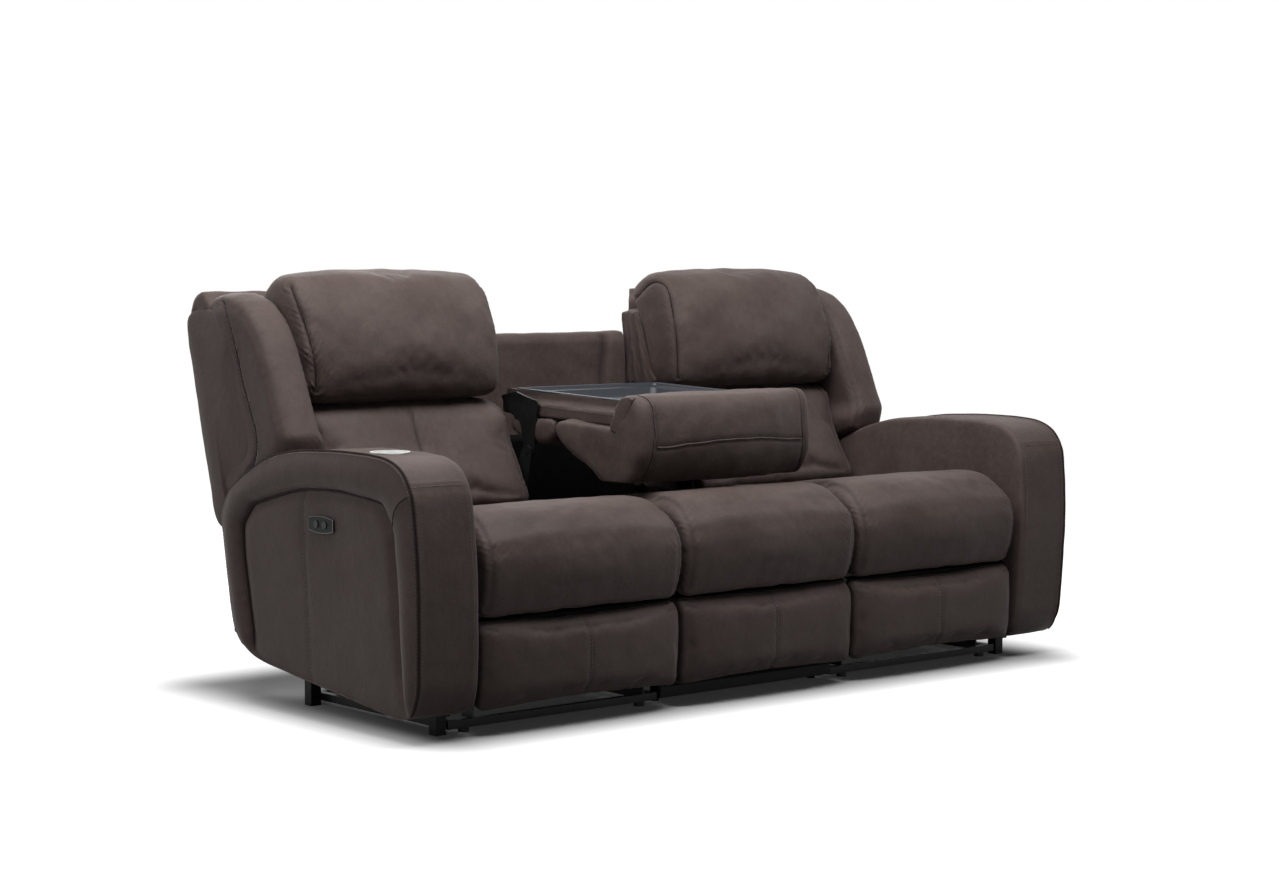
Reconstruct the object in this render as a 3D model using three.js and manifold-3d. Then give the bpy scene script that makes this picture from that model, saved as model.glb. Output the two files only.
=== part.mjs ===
// Three-seat power sofa. The middle back folds down to a console with a tray; the two outer seats
// recline and raise a footrest. Millimetres, +Z up, front towards -Y, left arm at -X.
// Drawing frame: y = 0 is the seam across the front of the arms. The group moves it to the middle.
import * as THREE from "three";
import { mergeVertices } from "three/addons/utils/BufferGeometryUtils.js";
import Module from "manifold-3d";

const wasm = await Module();
wasm.setup();

// Clearances
const TOUCH = 0.4;
const SLIDE = 1;
const PLAY = 4;
const PIN_GAP = 0.6;
const RUN_OUT = 60;

// Overall sizes
const SOFA_WIDTH = 2150;
const FRONT_REACH = 30;
const BACK_OVERHANG = 258;

// Arms
const ARM_WIDTH = 175;
const ARM_HEIGHT = 629;
const ARM_DEPTH = 779;
const ARM_LEAN = 18;
const ARM_BULGE = 18;
const ARM_EDGE = 14;
const ARM_HEEL = 131;
const ARM_FOOT_FRONT = 49;
const ARM_FOOT_REAR = 121;
const PANEL_RECESS = 8;
const ARM_BOARD = 25;
const ARM_BOARD_INSET = 42;
const ARM_BOARD_FROM_INNER = 16;
const ARM_BOARD_LIFT = 3;
const LEG_SIZE = 28;
const LEG_FROM_INNER = 28;
const LEG_FROM_FRONT = 86;
const LEG_FROM_REAR = 187;
const LEG_STRIP = 8;
const LEG_DROP = 5;

// Cup holder and switches
const CUP_RADIUS = 38;
const CUP_FLANGE = 45;
const CUP_DEPTH = 72;
const CUP_WALL = 2;
const CUP_LIFT = 1;
const CUP_FROM_FRONT = 186;
const SWITCH_FROM_FRONT = 348;
const SWITCH_BELOW_TOP = 168;
const SWITCH_LENGTH = 98;
const SWITCH_HEIGHT = 38;
const SWITCH_THICK = 4;
const SWITCH_SHOULDER = 6;
const SWITCH_LAP = 7;
const SWITCH_POCKET = 12;
const BUTTON_RADIUS = 9;
const BUTTON_PITCH = 34;
const BUTTON_PROUD = 2;
const BUTTON_DEEP = 7;

// Seats
const MIDDLE_SEAT_WIDTH = 566;
const SEAT_GAP = 6;
const SEAT_TO_ARM = 24;
const SEAT_SHORT_OF_ARM = 207;
const SEAT_HEIGHT = 478;
const SEAT_CROWN = 30;
const SEAT_SWELL = 10;
const SEAT_PULL = 4;
const SEAT_REAR_DROP = 48;
const SEAT_THICK = 104;
const SEAT_EDGE = 22;
const ROLL_HEIGHT = 218;
const ROLL_BACK = 66;
const FRAME_HEIGHT = 54;
const FRAME_BEHIND_ROLL = 4;
const FRAME_PAST_SEAT = 13;
const FRAME_MARGIN = 11;
const FRAME_BOARD = 22;
const DECK_BOARD = 12;
const SPRING_WIRE = 4;
const SPRING_COUNT = 4;
const SPRING_BENDS = 9;
const SPRING_WAVE = 44;
const SPRING_BELOW_PAD = 16;

// Under the middle seat
const MIDDLE_FOOT = 42;
const MIDDLE_PAST_ARM = 58;
const MIDDLE_GLIDE_INSET = 60;
const KICK_HEIGHT = 28;
const KICK_THICK = 12;
const KICK_SETBACK = 12;

// Base under each outer seat
const RAIL_SIZE = 18;
const GLIDE_HEIGHT = 10;
const GLIDE_RADIUS = 13;
const GLIDE_INSET = 40;
const BASE_SETBACK = 18;
const BASE_PAST_PIVOT = 20;
const BASE_OVER_ARM = 22;
const SIDE_PLATE = 4;
const SIDE_PLATE_INSET = 41.5;
const SIDE_PLATE_FOOT = 40;
const SIDE_PLATE_ARCH = 84;

// Lower front panels
const PANEL_BOTTOM = 57;
const PANEL_GAP = 6;
const PANEL_EDGE = 10;
const PAD_BACK = 44;
const PAD_BULGE = 10;
const FOOT_BOARD = 18;
const FOOT_BOARD_INSET = 8;

// Footrest linkage, all in the closed position
const LINK_SETBACK = 60;
const LINK_BELOW_FRAME = 20;
const LINK_RUN = 200;
const LINK_FALL = 150;
const TIP_BEHIND_PAD = 40;
const TIP_BELOW_KNEE = 20;
const LINK_WIDTH = 26;
const LINK_THICK = 5;
const LINK_STEP = 9;
const PIN_RADIUS = 6;
const TUBE_RADIUS = 10;
const KNEE_TUBE_RADIUS = 8;

// Actuator
const RAIL_WIDTH = 24;
const ACTUATOR_Z = 96;
const ACTUATOR_RAIL = 18;
const ACTUATOR_LENGTH = 272;
const ACTUATOR_FROM_REAR = 12;
const ACTUATOR_BLOCK = 52;
const ACTUATOR_HEAD = 34;
const MOTOR_RADIUS = 22;
const MOTOR_REACH = 110;
const CARRIAGE_LENGTH = 46;
const CARRIAGE_WALL = 7;
const CARRIAGE_START = 6;
const CARRIAGE_LUG = 24;
const CARRIAGE_LUG_THICK = 10;

// Backs
const PIVOT_SHORT_OF_ARM = 159;
const PIVOT_BELOW_FRAME = 70;
const BACK_PIN_RADIUS = 8;
const BACK_GAP = 9;
const BACK_SIDE_GAP = 3;
const BACK_BOARD = 30;
const BOARD_PAST_ARM = 97;
const BOARD_BELOW_SHELL = 52;
const BOARD_TOP_TO_REAR = 25;
const BACK_ARM_THICK = 6;
const BACK_PAD = 56;
const BACK_PULL = 4;
const CUSHION_EDGE = 20;
const LUMBAR_BELOW_SEAT = 44;
const LUMBAR_HEIGHT = 272;
const LUMBAR_SWELL = 8;
const HEAD_GAP = 6;
const HEAD_HEIGHT = 310;
const HEAD_CROWN = 18;
const HEAD_SWELL = 28;
const HEAD_EDGE = 30;
const HEAD_SIDE_GAP = 4;
const HEAD_OVER_SHELL = 40;
const SHELL_BOTTOM = 150;
const SHELL_EDGE = 8;
const SHELL_LEAF = 16;
const SLANT_WIDTH = 125;
const SLANT_TO_REAR = 138;
const SLANT_BELOW_SHELL = 132;
const SLANT_FALL = 80;
const SLANT_PAD = 14;
const ARM_TO_SHELL = 40;
const WING_WIDTH = 126;
const WING_SWELL = 8;
const WING_BELOW_SHELL = 8;
const WING_OVER_ARM = 14;
const WING_BELOW_ARM = 159;
const CENTRE_PANEL_OVER_LUMBAR = 160;
const CENTRE_PANEL_FORWARD = 72;

// Console, folded down
const PIVOT_BEHIND_SEAT = 28;
const PIVOT_BELOW_TOP = 155;
const CONSOLE_OVER_SEAT = 252;
const CONSOLE_SIDE_GAP = 13;
const CONSOLE_PAST_PIVOT = 122;
const CONSOLE_LENGTH = 470;
const CONSOLE_TILT = 1.8;
const CONSOLE_THICK = 62;
const CONSOLE_SPLIT = 222;
const CONSOLE_PAD_DEPTH = 70;
const ROLL_BULGE = 62;
const TRAY_SIDE = 32;
const TRAY_MARGIN = 14;
const TRAY_DEPTH = 30;
const TRAY_FLOOR = 4;
const TRAY_RIM = 22;
const TRAY_LEDGE = 34;
const TRAY_LEDGE_DEPTH = 9;
const TRAY_PROUD = 3;
const HINGE_PLATE = 5;
const HINGE_STEP = 3;

// Finishes
const COVER = { color: 0x4a403d, roughness: 0.6, metalness: 0 };
const WOOD = { color: 0xb08a5b, roughness: 0.8, metalness: 0 };
const STEEL = { color: 0x17181a, roughness: 0.45, metalness: 0.6 };
const BRIGHT = { color: 0xc8c8c8, roughness: 0.25, metalness: 1 };
const WIRE = { color: 0x8b8d90, roughness: 0.4, metalness: 0.9 };
const PLASTIC = { color: 0x232a35, roughness: 0.3, metalness: 0 };
const BLACK = { color: 0x0f1012, roughness: 0.5, metalness: 0 };

// Places along the width
const ARM_INNER = SOFA_WIDTH / 2 - ARM_WIDTH;
const MIDDLE_HALF = MIDDLE_SEAT_WIDTH / 2;
const SEAT_INNER = MIDDLE_HALF + SEAT_GAP;
const SEAT_OUTER = ARM_INNER - SEAT_TO_ARM;
const SEAT_CENTRE = (SEAT_INNER + SEAT_OUTER) / 2;
const SIDE_PLATE_SPREAD = SEAT_OUTER - SEAT_INNER - 2 * SIDE_PLATE_INSET;
const CONSOLE_HALF = MIDDLE_HALF - CONSOLE_SIDE_GAP;
const TRAY_HALF = CONSOLE_HALF - TRAY_SIDE;

// Heights
const SEAT_BASE = SEAT_HEIGHT - SEAT_THICK;
const ROLL_BOTTOM = SEAT_HEIGHT - ROLL_HEIGHT;
const FRAME_TOP = SEAT_BASE - SLIDE;
const FRAME_BOTTOM = SEAT_BASE - FRAME_HEIGHT;
const PANEL_TOP = ROLL_BOTTOM - PANEL_GAP;
const RAIL_TOP = GLIDE_HEIGHT + RAIL_SIZE;
const LUMBAR_BOTTOM = SEAT_HEIGHT - LUMBAR_BELOW_SEAT;
const LUMBAR_TOP = LUMBAR_BOTTOM + LUMBAR_HEIGHT;
const HEAD_BOTTOM = LUMBAR_TOP + HEAD_GAP;
const SHELL_TOP = HEAD_BOTTOM + HEAD_HEIGHT - HEAD_OVER_SHELL;
const BOARD_BOTTOM = LUMBAR_BOTTOM + HEAD_GAP;
const BOARD_TOP = SHELL_TOP - BOARD_BELOW_SHELL;
const WING_TOP = SHELL_TOP - WING_BELOW_SHELL;
const WING_BOTTOM = ARM_HEIGHT - WING_BELOW_ARM;
const CENTRE_PANEL_TOP = LUMBAR_TOP + CENTRE_PANEL_OVER_LUMBAR;
const CONSOLE_TOP = SEAT_HEIGHT + CONSOLE_OVER_SEAT;
const CONSOLE_UNDER = CONSOLE_TOP - CONSOLE_THICK;
const SWITCH_Z = ARM_HEIGHT - SWITCH_BELOW_TOP;

// Places from front to rear
const REAR_REACH = ARM_DEPTH + BACK_OVERHANG;
const CENTRE_Y = (REAR_REACH - FRONT_REACH) / 2;
const SEAT_REAR = ARM_DEPTH - SEAT_SHORT_OF_ARM;
const FRAME_FRONT = ROLL_BACK + FRAME_BEHIND_ROLL;
const FRAME_REAR = SEAT_REAR + FRAME_PAST_SEAT;
const BACK_PIVOT = [ARM_DEPTH - PIVOT_SHORT_OF_ARM, FRAME_BOTTOM - PIVOT_BELOW_FRAME];
const BASE_FRONT = FRAME_FRONT + BASE_SETBACK;
const BASE_REAR = BACK_PIVOT[0] + BASE_PAST_PIVOT;
const MIDDLE_REAR = ARM_DEPTH + MIDDLE_PAST_ARM;
const LINK_PIVOT = [FRAME_FRONT + LINK_SETBACK, FRAME_BOTTOM - LINK_BELOW_FRAME];
const LINK_KNEE = [LINK_PIVOT[0] + LINK_RUN, LINK_PIVOT[1] - LINK_FALL];
const LINK_TIP = [PAD_BACK + TIP_BEHIND_PAD, LINK_KNEE[1] - TIP_BELOW_KNEE];
const CONSOLE_PIVOT = [SEAT_REAR + PIVOT_BEHIND_SEAT, CONSOLE_TOP - PIVOT_BELOW_TOP];
const CONSOLE_REAR = CONSOLE_PIVOT[0] + CONSOLE_PAST_PIVOT;
const CONSOLE_FRONT = CONSOLE_REAR - CONSOLE_LENGTH;

const sofa = new THREE.Group();
sofa.position.y = -CENTRE_Y;

// Tools for solids

function solid(geometry) {
  const bare = geometry.index ? geometry.toNonIndexed() : geometry.clone();
  bare.deleteAttribute("normal");
  bare.deleteAttribute("uv");
  const merged = mergeVertices(bare, 1e-4);
  return new wasm.Manifold(
    new wasm.Mesh({
      numProp: 3,
      vertProperties: new Float32Array(merged.attributes.position.array),
      triVerts: new Uint32Array(merged.index.array),
    }),
  );
}

function geometryOf(body) {
  const mesh = body.getMesh();
  const geometry = new THREE.BufferGeometry();
  geometry.setAttribute("position", new THREE.BufferAttribute(mesh.vertProperties, 3));
  geometry.setIndex(new THREE.BufferAttribute(mesh.triVerts, 1));
  return geometry;
}

function join(...geometries) {
  return geometryOf(geometries.map(solid).reduce((sum, next) => sum.add(next)));
}

function cut(geometry, ...tools) {
  return geometryOf(tools.map(solid).reduce((rest, tool) => rest.subtract(tool), solid(geometry)));
}

function place(name, geometry, finish) {
  geometry.computeVertexNormals();
  const mesh = new THREE.Mesh(geometry, new THREE.MeshStandardMaterial(finish));
  mesh.name = name;
  sofa.add(mesh);
  return mesh;
}

// A box between two corners.
function block(x0, x1, y0, y1, z0, z1) {
  const box = new THREE.BoxGeometry(Math.abs(x1 - x0), Math.abs(y1 - y0), Math.abs(z1 - z0));
  return box.translate((x0 + x1) / 2, (y0 + y1) / 2, (z0 + z1) / 2);
}

// An outline in the y-z plane, drawn out along x from one value to the other.
function prism(outline, xa, xb, holes = []) {
  const from = Math.min(xa, xb);
  const shape = new THREE.Shape(outline.map(([y, z]) => new THREE.Vector2(y, z)));
  for (const [y, z, radius] of holes) {
    const hole = new THREE.Path();
    hole.absarc(y, z, radius, 0, Math.PI * 2);
    shape.holes.push(hole);
  }
  const settings = { depth: Math.abs(xb - xa), bevelEnabled: false, curveSegments: 8 };
  const geometry = new THREE.ExtrudeGeometry(shape, settings);
  const turn = new THREE.Matrix4().set(0, 0, 1, from, 1, 0, 0, 0, 0, 1, 0, 0, 0, 0, 0, 1);
  return geometry.applyMatrix4(turn);
}

// A round bar along x.
function barX(x0, x1, [y, z], radius, sides = 16) {
  const bar = new THREE.CylinderGeometry(radius, radius, Math.abs(x1 - x0), sides);
  return bar.rotateZ(Math.PI / 2).translate((x0 + x1) / 2, y, z);
}

// A round bar along z.
function barZ(x, y, z0, z1, radius, sides = 16) {
  const bar = new THREE.CylinderGeometry(radius, radius, z1 - z0, sides);
  return bar.rotateX(Math.PI / 2).translate(x, y, (z0 + z1) / 2);
}

// A closed smooth outline through a few points.
function smooth(points, count) {
  const curve = new THREE.CatmullRomCurve3(
    points.map(([y, z]) => new THREE.Vector3(0, y, z)),
    true,
    "centripetal",
  );
  return curve.getSpacedPoints(count).slice(0, count).map((p) => [p.y, p.z]);
}

// The middle and the half sizes of an outline's box.
function spanOf(outline) {
  const box = new THREE.Box2().setFromPoints(outline.map(([y, z]) => new THREE.Vector2(y, z)));
  const centre = box.getCenter(new THREE.Vector2());
  const reach = box.getSize(new THREE.Vector2()).multiplyScalar(0.5);
  return { centre, reach };
}

// Where the sections of a padded piece stand along its width, closer together at the rounded ends.
function sectionPlaces(half, edge) {
  const rounded = [0, 0.5, 1].map((angle) => half - edge * (1 - Math.sin((angle * Math.PI) / 2)));
  const inner = half - edge;
  const middle = [-0.5, 0, 0.5].map((share) => share * inner);
  return [...rounded.map((x) => -x).reverse(), ...middle, ...rounded];
}

// A padded piece: the outline runs along x with a crown on top, a swell in front, rounded ends
// that draw in, and sides that pull in between their corners.
function padded(outline, xa, xb, { edge, crown = 0, swell = 0, pull = 0 }) {
  const half = Math.abs(xb - xa) / 2;
  const middle = (xa + xb) / 2;
  const { centre, reach } = spanOf(outline);
  const rings = sectionPlaces(half, edge).map((x) => {
    const past = Math.max(0, (Math.abs(x) - (half - edge)) / edge);
    const inset = edge * (1 - Math.sqrt(Math.max(0, 1 - past * past)));
    const rise = 1 - (x / half) ** 2;
    return outline.map(([y, z]) => {
      const v = (y - centre.x) / reach.x;
      const w = (z - centre.y) / reach.y;
      const sideways = pull * Math.abs(x / half) ** 3 * Math.max(0, 1 - v * v);
      return new THREE.Vector3(
        middle + x - Math.sign(x) * sideways,
        centre.x + v * (reach.x - inset) - swell * rise * Math.max(0, -v),
        centre.y + w * (reach.y - inset) + crown * rise * Math.max(0, w),
      );
    });
  });
  return skin(rings);
}

// A closed skin over rings of points that share one count, with flat ends.
function skin(rings) {
  const count = rings[0].length;
  const flat = (ring) => ring.map((p) => new THREE.Vector2(p.y, p.z));
  const turned = THREE.ShapeUtils.area(flat(rings[0])) < 0;
  const ordered = turned ? rings.map((ring) => [...ring].reverse()) : rings;
  const index = [];
  for (let r = 0; r + 1 < ordered.length; r++) {
    for (let i = 0; i < count; i++) {
      const a = r * count + i;
      const b = r * count + ((i + 1) % count);
      index.push(a, b, b + count, a, b + count, a + count);
    }
  }
  const last = (ordered.length - 1) * count;
  const ends = [ordered[0], ordered[ordered.length - 1]];
  const caps = ends.map((ring) => THREE.ShapeUtils.triangulateShape(flat(ring), []));
  for (const [a, b, c] of caps[0]) index.push(a, c, b);
  for (const [a, b, c] of caps[1]) index.push(last + a, last + b, last + c);
  const geometry = new THREE.BufferGeometry();
  const values = ordered.flat().flatMap((p) => [p.x, p.y, p.z]);
  geometry.setAttribute("position", new THREE.BufferAttribute(new Float32Array(values), 3));
  geometry.setIndex(index);
  return geometry;
}

// The arms lean outwards: their feet stand nearer the middle than their tops.
function lean(geometry, side) {
  const at = geometry.attributes.position;
  for (let i = 0; i < at.count; i++) {
    at.setX(i, at.getX(i) - side * ARM_LEAN * (1 - at.getZ(i) / ARM_HEIGHT));
  }
  return geometry;
}

// Arms

function armBottom(y) {
  return ARM_FOOT_FRONT + ((ARM_FOOT_REAR - ARM_FOOT_FRONT) * y) / (ARM_DEPTH - ARM_HEEL);
}

// A place in the arm's side view, as shares of its depth and height.
function armAt(along, up) {
  return [ARM_DEPTH * along, ARM_HEIGHT * up];
}

function armOutline() {
  const heel = ARM_DEPTH - ARM_HEEL;
  const bottom = [0.04, 0.39, 0.74, 1].map((share) => [heel * share, armBottom(heel * share)]);
  const rear = [
    armAt(0.895, 0.223), armAt(0.944, 0.283), armAt(0.967, 0.417), armAt(0.982, 0.556), armAt(0.996, 0.684),
    armAt(1, 0.727), armAt(0.985, 0.774),
  ];
  const top = [
    armAt(0.909, 0.846), armAt(0.827, 0.898), armAt(0.746, 0.94), armAt(0.633, 0.975), armAt(0.413, 0.998),
    armAt(0.308, 1), armAt(0.193, 0.997), armAt(0.105, 0.99), armAt(0.051, 0.971), armAt(0.01, 0.93),
  ];
  const bulge = [[0.44, 0.841], [1, 0.636], [1, 0.477], [0.67, 0.286], [0.22, 0.157], [-0.22, 0.097]];
  const front = bulge.map(([share, up]) => [-ARM_BULGE * share, ARM_HEIGHT * up]);
  return smooth([...bottom, ...rear, ...top, ...front], 40);
}

// How high the arm stands at a place along it, or 0 behind it.
function armTop(y) {
  const outline = armOutline();
  const heights = outline.map(([y0, z0], i) => {
    const [y1, z1] = outline[(i + 1) % outline.length];
    const share = (y - y0) / (y1 - y0);
    return share >= 0 && share <= 1 ? z0 + share * (z1 - z0) : 0;
  });
  return Math.max(...heights);
}

// The recessed panel on the outer face, under the arched roll; it runs out at the bottom.
function sidePanelOutline() {
  return smooth(
    [
      [ARM_DEPTH * 0.092, -RUN_OUT], [ARM_DEPTH * 0.796, -RUN_OUT], armAt(0.849, 0.238), armAt(0.879, 0.472),
      armAt(0.9, 0.676), armAt(0.849, 0.762), armAt(0.748, 0.797), armAt(0.567, 0.849), armAt(0.394, 0.86),
      armAt(0.208, 0.844), armAt(0.123, 0.825), armAt(0.087, 0.771), armAt(0.083, 0.477),
    ],
    30,
  );
}

// An outline moved outwards from its middle by a distance on each axis.
function grown(outline, distance) {
  const { centre, reach } = spanOf(outline);
  return outline.map(([y, z]) => [
    centre.x + ((y - centre.x) * (reach.x + distance)) / reach.x,
    centre.y + ((z - centre.y) * (reach.y + distance)) / reach.y,
  ]);
}

// The board inside the arm; its slot in the cover runs on out of the bottom.
function armBoardOutline(below) {
  const heel = ARM_DEPTH - ARM_HEEL - LEG_STRIP;
  const foot = (y) => [y, armBottom(y) + ARM_BOARD_LIFT - below];
  const top = (along, up) => [ARM_DEPTH * along, (ARM_HEIGHT - ARM_BOARD_INSET) * up];
  return [
    foot(ARM_BOARD_INSET), foot(heel), armAt(0.884, 0.382), top(0.92, 0.76), top(0.82, 0.888),
    top(0.615, 0.966),
    [ARM_BOARD_INSET, (ARM_HEIGHT - ARM_BOARD_INSET) * 0.966],
  ];
}

function buildArm(side, label) {
  const outer = (side * SOFA_WIDTH) / 2;
  const inner = side * ARM_INNER;
  const face = outer - side * PANEL_RECESS;
  const switchFace = face - side * ARM_LEAN * (1 - SWITCH_Z / ARM_HEIGHT);
  const boardA = inner + side * ARM_BOARD_FROM_INNER;
  const boardB = boardA + side * ARM_BOARD;
  const slot = prism(grown(armBoardOutline(RUN_OUT), TOUCH), boardA - side * TOUCH, boardB + side * TOUCH);
  const pocketLength = SWITCH_LENGTH / 2 - SWITCH_LAP;
  const pocketHeight = SWITCH_HEIGHT / 2 - SWITCH_LAP;
  const pocket = block(
    switchFace + side * RUN_OUT, switchFace - side * SWITCH_POCKET,
    SWITCH_FROM_FRONT - pocketLength, SWITCH_FROM_FRONT + pocketLength,
    SWITCH_Z - pocketHeight, SWITCH_Z + pocketHeight,
  );
  const panel = prism(sidePanelOutline(), face, outer + side * RUN_OUT);
  const tools = [lean(panel, side), lean(slot, side), pocket];
  if (side < 0) tools.push(cupBore());
  const body = lean(padded(armOutline(), inner, outer, { edge: ARM_EDGE }), side);
  place(label + "_arm_cover", cut(body, ...tools), COVER);
  place(label + "_arm_frame", lean(prism(armBoardOutline(0), boardA, boardB), side), WOOD);
  buildLegs(side, label);
  buildSwitch(side, label, switchFace);
}

// Two feet on one strip that is screwed under the arm.
function buildLegs(side, label) {
  const inner = side * (ARM_INNER + LEG_FROM_INNER - ARM_LEAN);
  const under = (y, drop) => [y, armBottom(y) - LEG_DROP - drop];
  const past = LEG_SIZE / 2;
  const frontEnd = LEG_FROM_FRONT + LEG_SIZE;
  const rear = ARM_DEPTH - LEG_FROM_REAR;
  const rearEnd = rear + LEG_SIZE;
  const outline = [
    under(LEG_FROM_FRONT - past, 0), under(LEG_FROM_FRONT - past, LEG_STRIP), under(LEG_FROM_FRONT, LEG_STRIP),
    [LEG_FROM_FRONT, 0], [frontEnd, 0], under(frontEnd, LEG_STRIP),
    under(rear, LEG_STRIP), [rear, 0], [rearEnd, 0],
    under(rearEnd, LEG_STRIP), under(rearEnd + past, LEG_STRIP), under(rearEnd + past, 0),
  ];
  place(label + "_arm_legs", prism(outline, inner, inner + side * LEG_SIZE), BLACK);
}

// A barrel-shaped plate with straight ends; both buttons slide in its round holes.
function buildSwitch(side, label, face) {
  const back = face + side * SLIDE;
  const front = back + side * SWITCH_THICK;
  const half = SWITCH_LENGTH / 2;
  const tall = SWITCH_HEIGHT / 2;
  const shares = [-1, -0.66, -0.33, 0, 0.33, 0.66, 1];
  const edge = (sign) => shares.map((share) => [
    SWITCH_FROM_FRONT - sign * share * half,
    SWITCH_Z + sign * (tall - SWITCH_SHOULDER * share * share),
  ]);
  const buttonY = [SWITCH_FROM_FRONT - BUTTON_PITCH / 2, SWITCH_FROM_FRONT + BUTTON_PITCH / 2];
  const holes = buttonY.map((y) => [y, SWITCH_Z, BUTTON_RADIUS + PIN_GAP]);
  place(label + "_switch_plate", prism([...edge(-1), ...edge(1)], back, front, holes), BLACK);
  const names = ["_extend_button", "_return_button"];
  names.forEach((name, i) => {
    const tip = front + side * BUTTON_PROUD;
    const button = barX(tip, front - side * BUTTON_DEEP, [buttonY[i], SWITCH_Z], BUTTON_RADIUS);
    place(label + name, button, BLACK);
  });
}

function cupX() {
  return -(ARM_INNER + ARM_WIDTH / 2);
}

function cupBore() {
  const floor = ARM_HEIGHT - CUP_DEPTH - CUP_WALL - TOUCH;
  return barZ(cupX(), CUP_FROM_FRONT, floor, ARM_HEIGHT + RUN_OUT, CUP_RADIUS + CUP_WALL + TOUCH, 32);
}

function buildCupHolder() {
  const top = ARM_HEIGHT + CUP_LIFT;
  const outer = CUP_RADIUS + CUP_WALL;
  const floor = ARM_HEIGHT - CUP_DEPTH;
  const profile = [
    [0, floor - CUP_WALL], [outer, floor - CUP_WALL], [outer, top], [CUP_FLANGE, top],
    [CUP_FLANGE, top + CUP_WALL], [CUP_RADIUS, top + CUP_WALL], [CUP_RADIUS, floor], [0, floor],
  ];
  const cup = new THREE.LatheGeometry(profile.map(([x, y]) => new THREE.Vector2(x, y)), 32);
  place("cup_holder", cup.rotateX(Math.PI / 2).translate(cupX(), CUP_FROM_FRONT, 0), BRIGHT);
}

// Seats

// Side view of a seat cushion: a deep roll in front of the frame and a pad that falls to the rear.
function seatOutline() {
  const top = SEAT_HEIGHT;
  const rearTop = top - SEAT_REAR_DROP;
  const front = -FRONT_REACH + SEAT_SWELL;
  return smooth(
    [
      [ROLL_BACK - 18, ROLL_BOTTOM + 4], [ROLL_BACK - 4, ROLL_BOTTOM + 30], [ROLL_BACK - 2, SEAT_BASE - 14],
      [ROLL_BACK + 14, SEAT_BASE + 2], [SEAT_REAR * 0.35, SEAT_BASE], [SEAT_REAR * 0.73, SEAT_BASE],
      [SEAT_REAR - 24, SEAT_BASE], [SEAT_REAR - 3, SEAT_BASE + 20], [SEAT_REAR, rearTop - 30],
      [SEAT_REAR - 18, rearTop - 4], [SEAT_REAR * 0.77, top - SEAT_REAR_DROP * 0.8],
      [SEAT_REAR * 0.455, top - SEAT_REAR_DROP * 0.38], [SEAT_REAR * 0.192, top - 1],
      [SEAT_REAR * 0.087, top - 8], [front + 26, top - ROLL_HEIGHT * 0.156],
      [front + 4, top - ROLL_HEIGHT * 0.31], [front, top - ROLL_HEIGHT * 0.5],
      [front + 6, top - ROLL_HEIGHT * 0.73], [front + 20, top - ROLL_HEIGHT * 0.936], [front + 36, ROLL_BOTTOM],
    ],
    34,
  );
}

function buildSeat(label, from, to) {
  const cushion = padded(seatOutline(), from, to, {
    edge: SEAT_EDGE, crown: SEAT_CROWN, swell: SEAT_SWELL, pull: SEAT_PULL,
  });
  const under = block(
    from - PLAY, to + PLAY, FRAME_FRONT - SLIDE, SEAT_REAR + PLAY, ROLL_BOTTOM - RUN_OUT, SEAT_BASE,
  );
  place(label + "_seat_cushion", cut(cushion, under), COVER);
}

// A ring of boards that the cushion rests on.
function seatRing(from, to) {
  const outside = block(from, to, FRAME_FRONT, FRAME_REAR, FRAME_BOTTOM, FRAME_TOP);
  const inside = block(
    from + FRAME_BOARD, to - FRAME_BOARD, FRAME_FRONT + FRAME_BOARD, FRAME_REAR - FRAME_BOARD,
    FRAME_BOTTOM - SLIDE, FRAME_TOP + SLIDE,
  );
  return cut(outside, inside);
}

// Zigzag springs between two clip rails, flat across the ring.
function springDeck(from, to) {
  const x0 = from + FRAME_BOARD + TOUCH;
  const x1 = to - FRAME_BOARD - TOUCH;
  const y0 = FRAME_FRONT + FRAME_BOARD + TOUCH;
  const y1 = FRAME_REAR - FRAME_BOARD - TOUCH;
  const rail = SPRING_WIRE * 2;
  const top = SEAT_BASE - SPRING_BELOW_PAD;
  const low = top - SPRING_WIRE;
  const pieces = [block(x0, x1, y0, y0 + rail, low, top), block(x0, x1, y1 - rail, y1, low, top)];
  const pitch = (x1 - x0) / SPRING_COUNT;
  for (let i = 0; i < SPRING_COUNT; i++) {
    const wire = springWire(x0 + pitch * (i + 0.5), y0 + rail / 2, y1 - rail / 2);
    pieces.push(wire.translate(0, 0, low + TOUCH / 2));
  }
  return join(...pieces);
}

function springWire(x, y0, y1) {
  const step = (y1 - y0) / (SPRING_BENDS + 1);
  const left = [];
  const right = [];
  for (let i = 0; i <= SPRING_BENDS + 1; i++) {
    const swing = i === 0 || i > SPRING_BENDS ? 0 : (i % 2 ? 1 : -1) * (SPRING_WAVE / 2);
    left.push(new THREE.Vector2(x + swing - SPRING_WIRE / 2, y0 + i * step));
    right.unshift(new THREE.Vector2(x + swing + SPRING_WIRE / 2, y0 + i * step));
  }
  const shape = new THREE.Shape([...right, ...left]);
  return new THREE.ExtrudeGeometry(shape, { depth: SPRING_WIRE - TOUCH, bevelEnabled: false });
}

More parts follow.
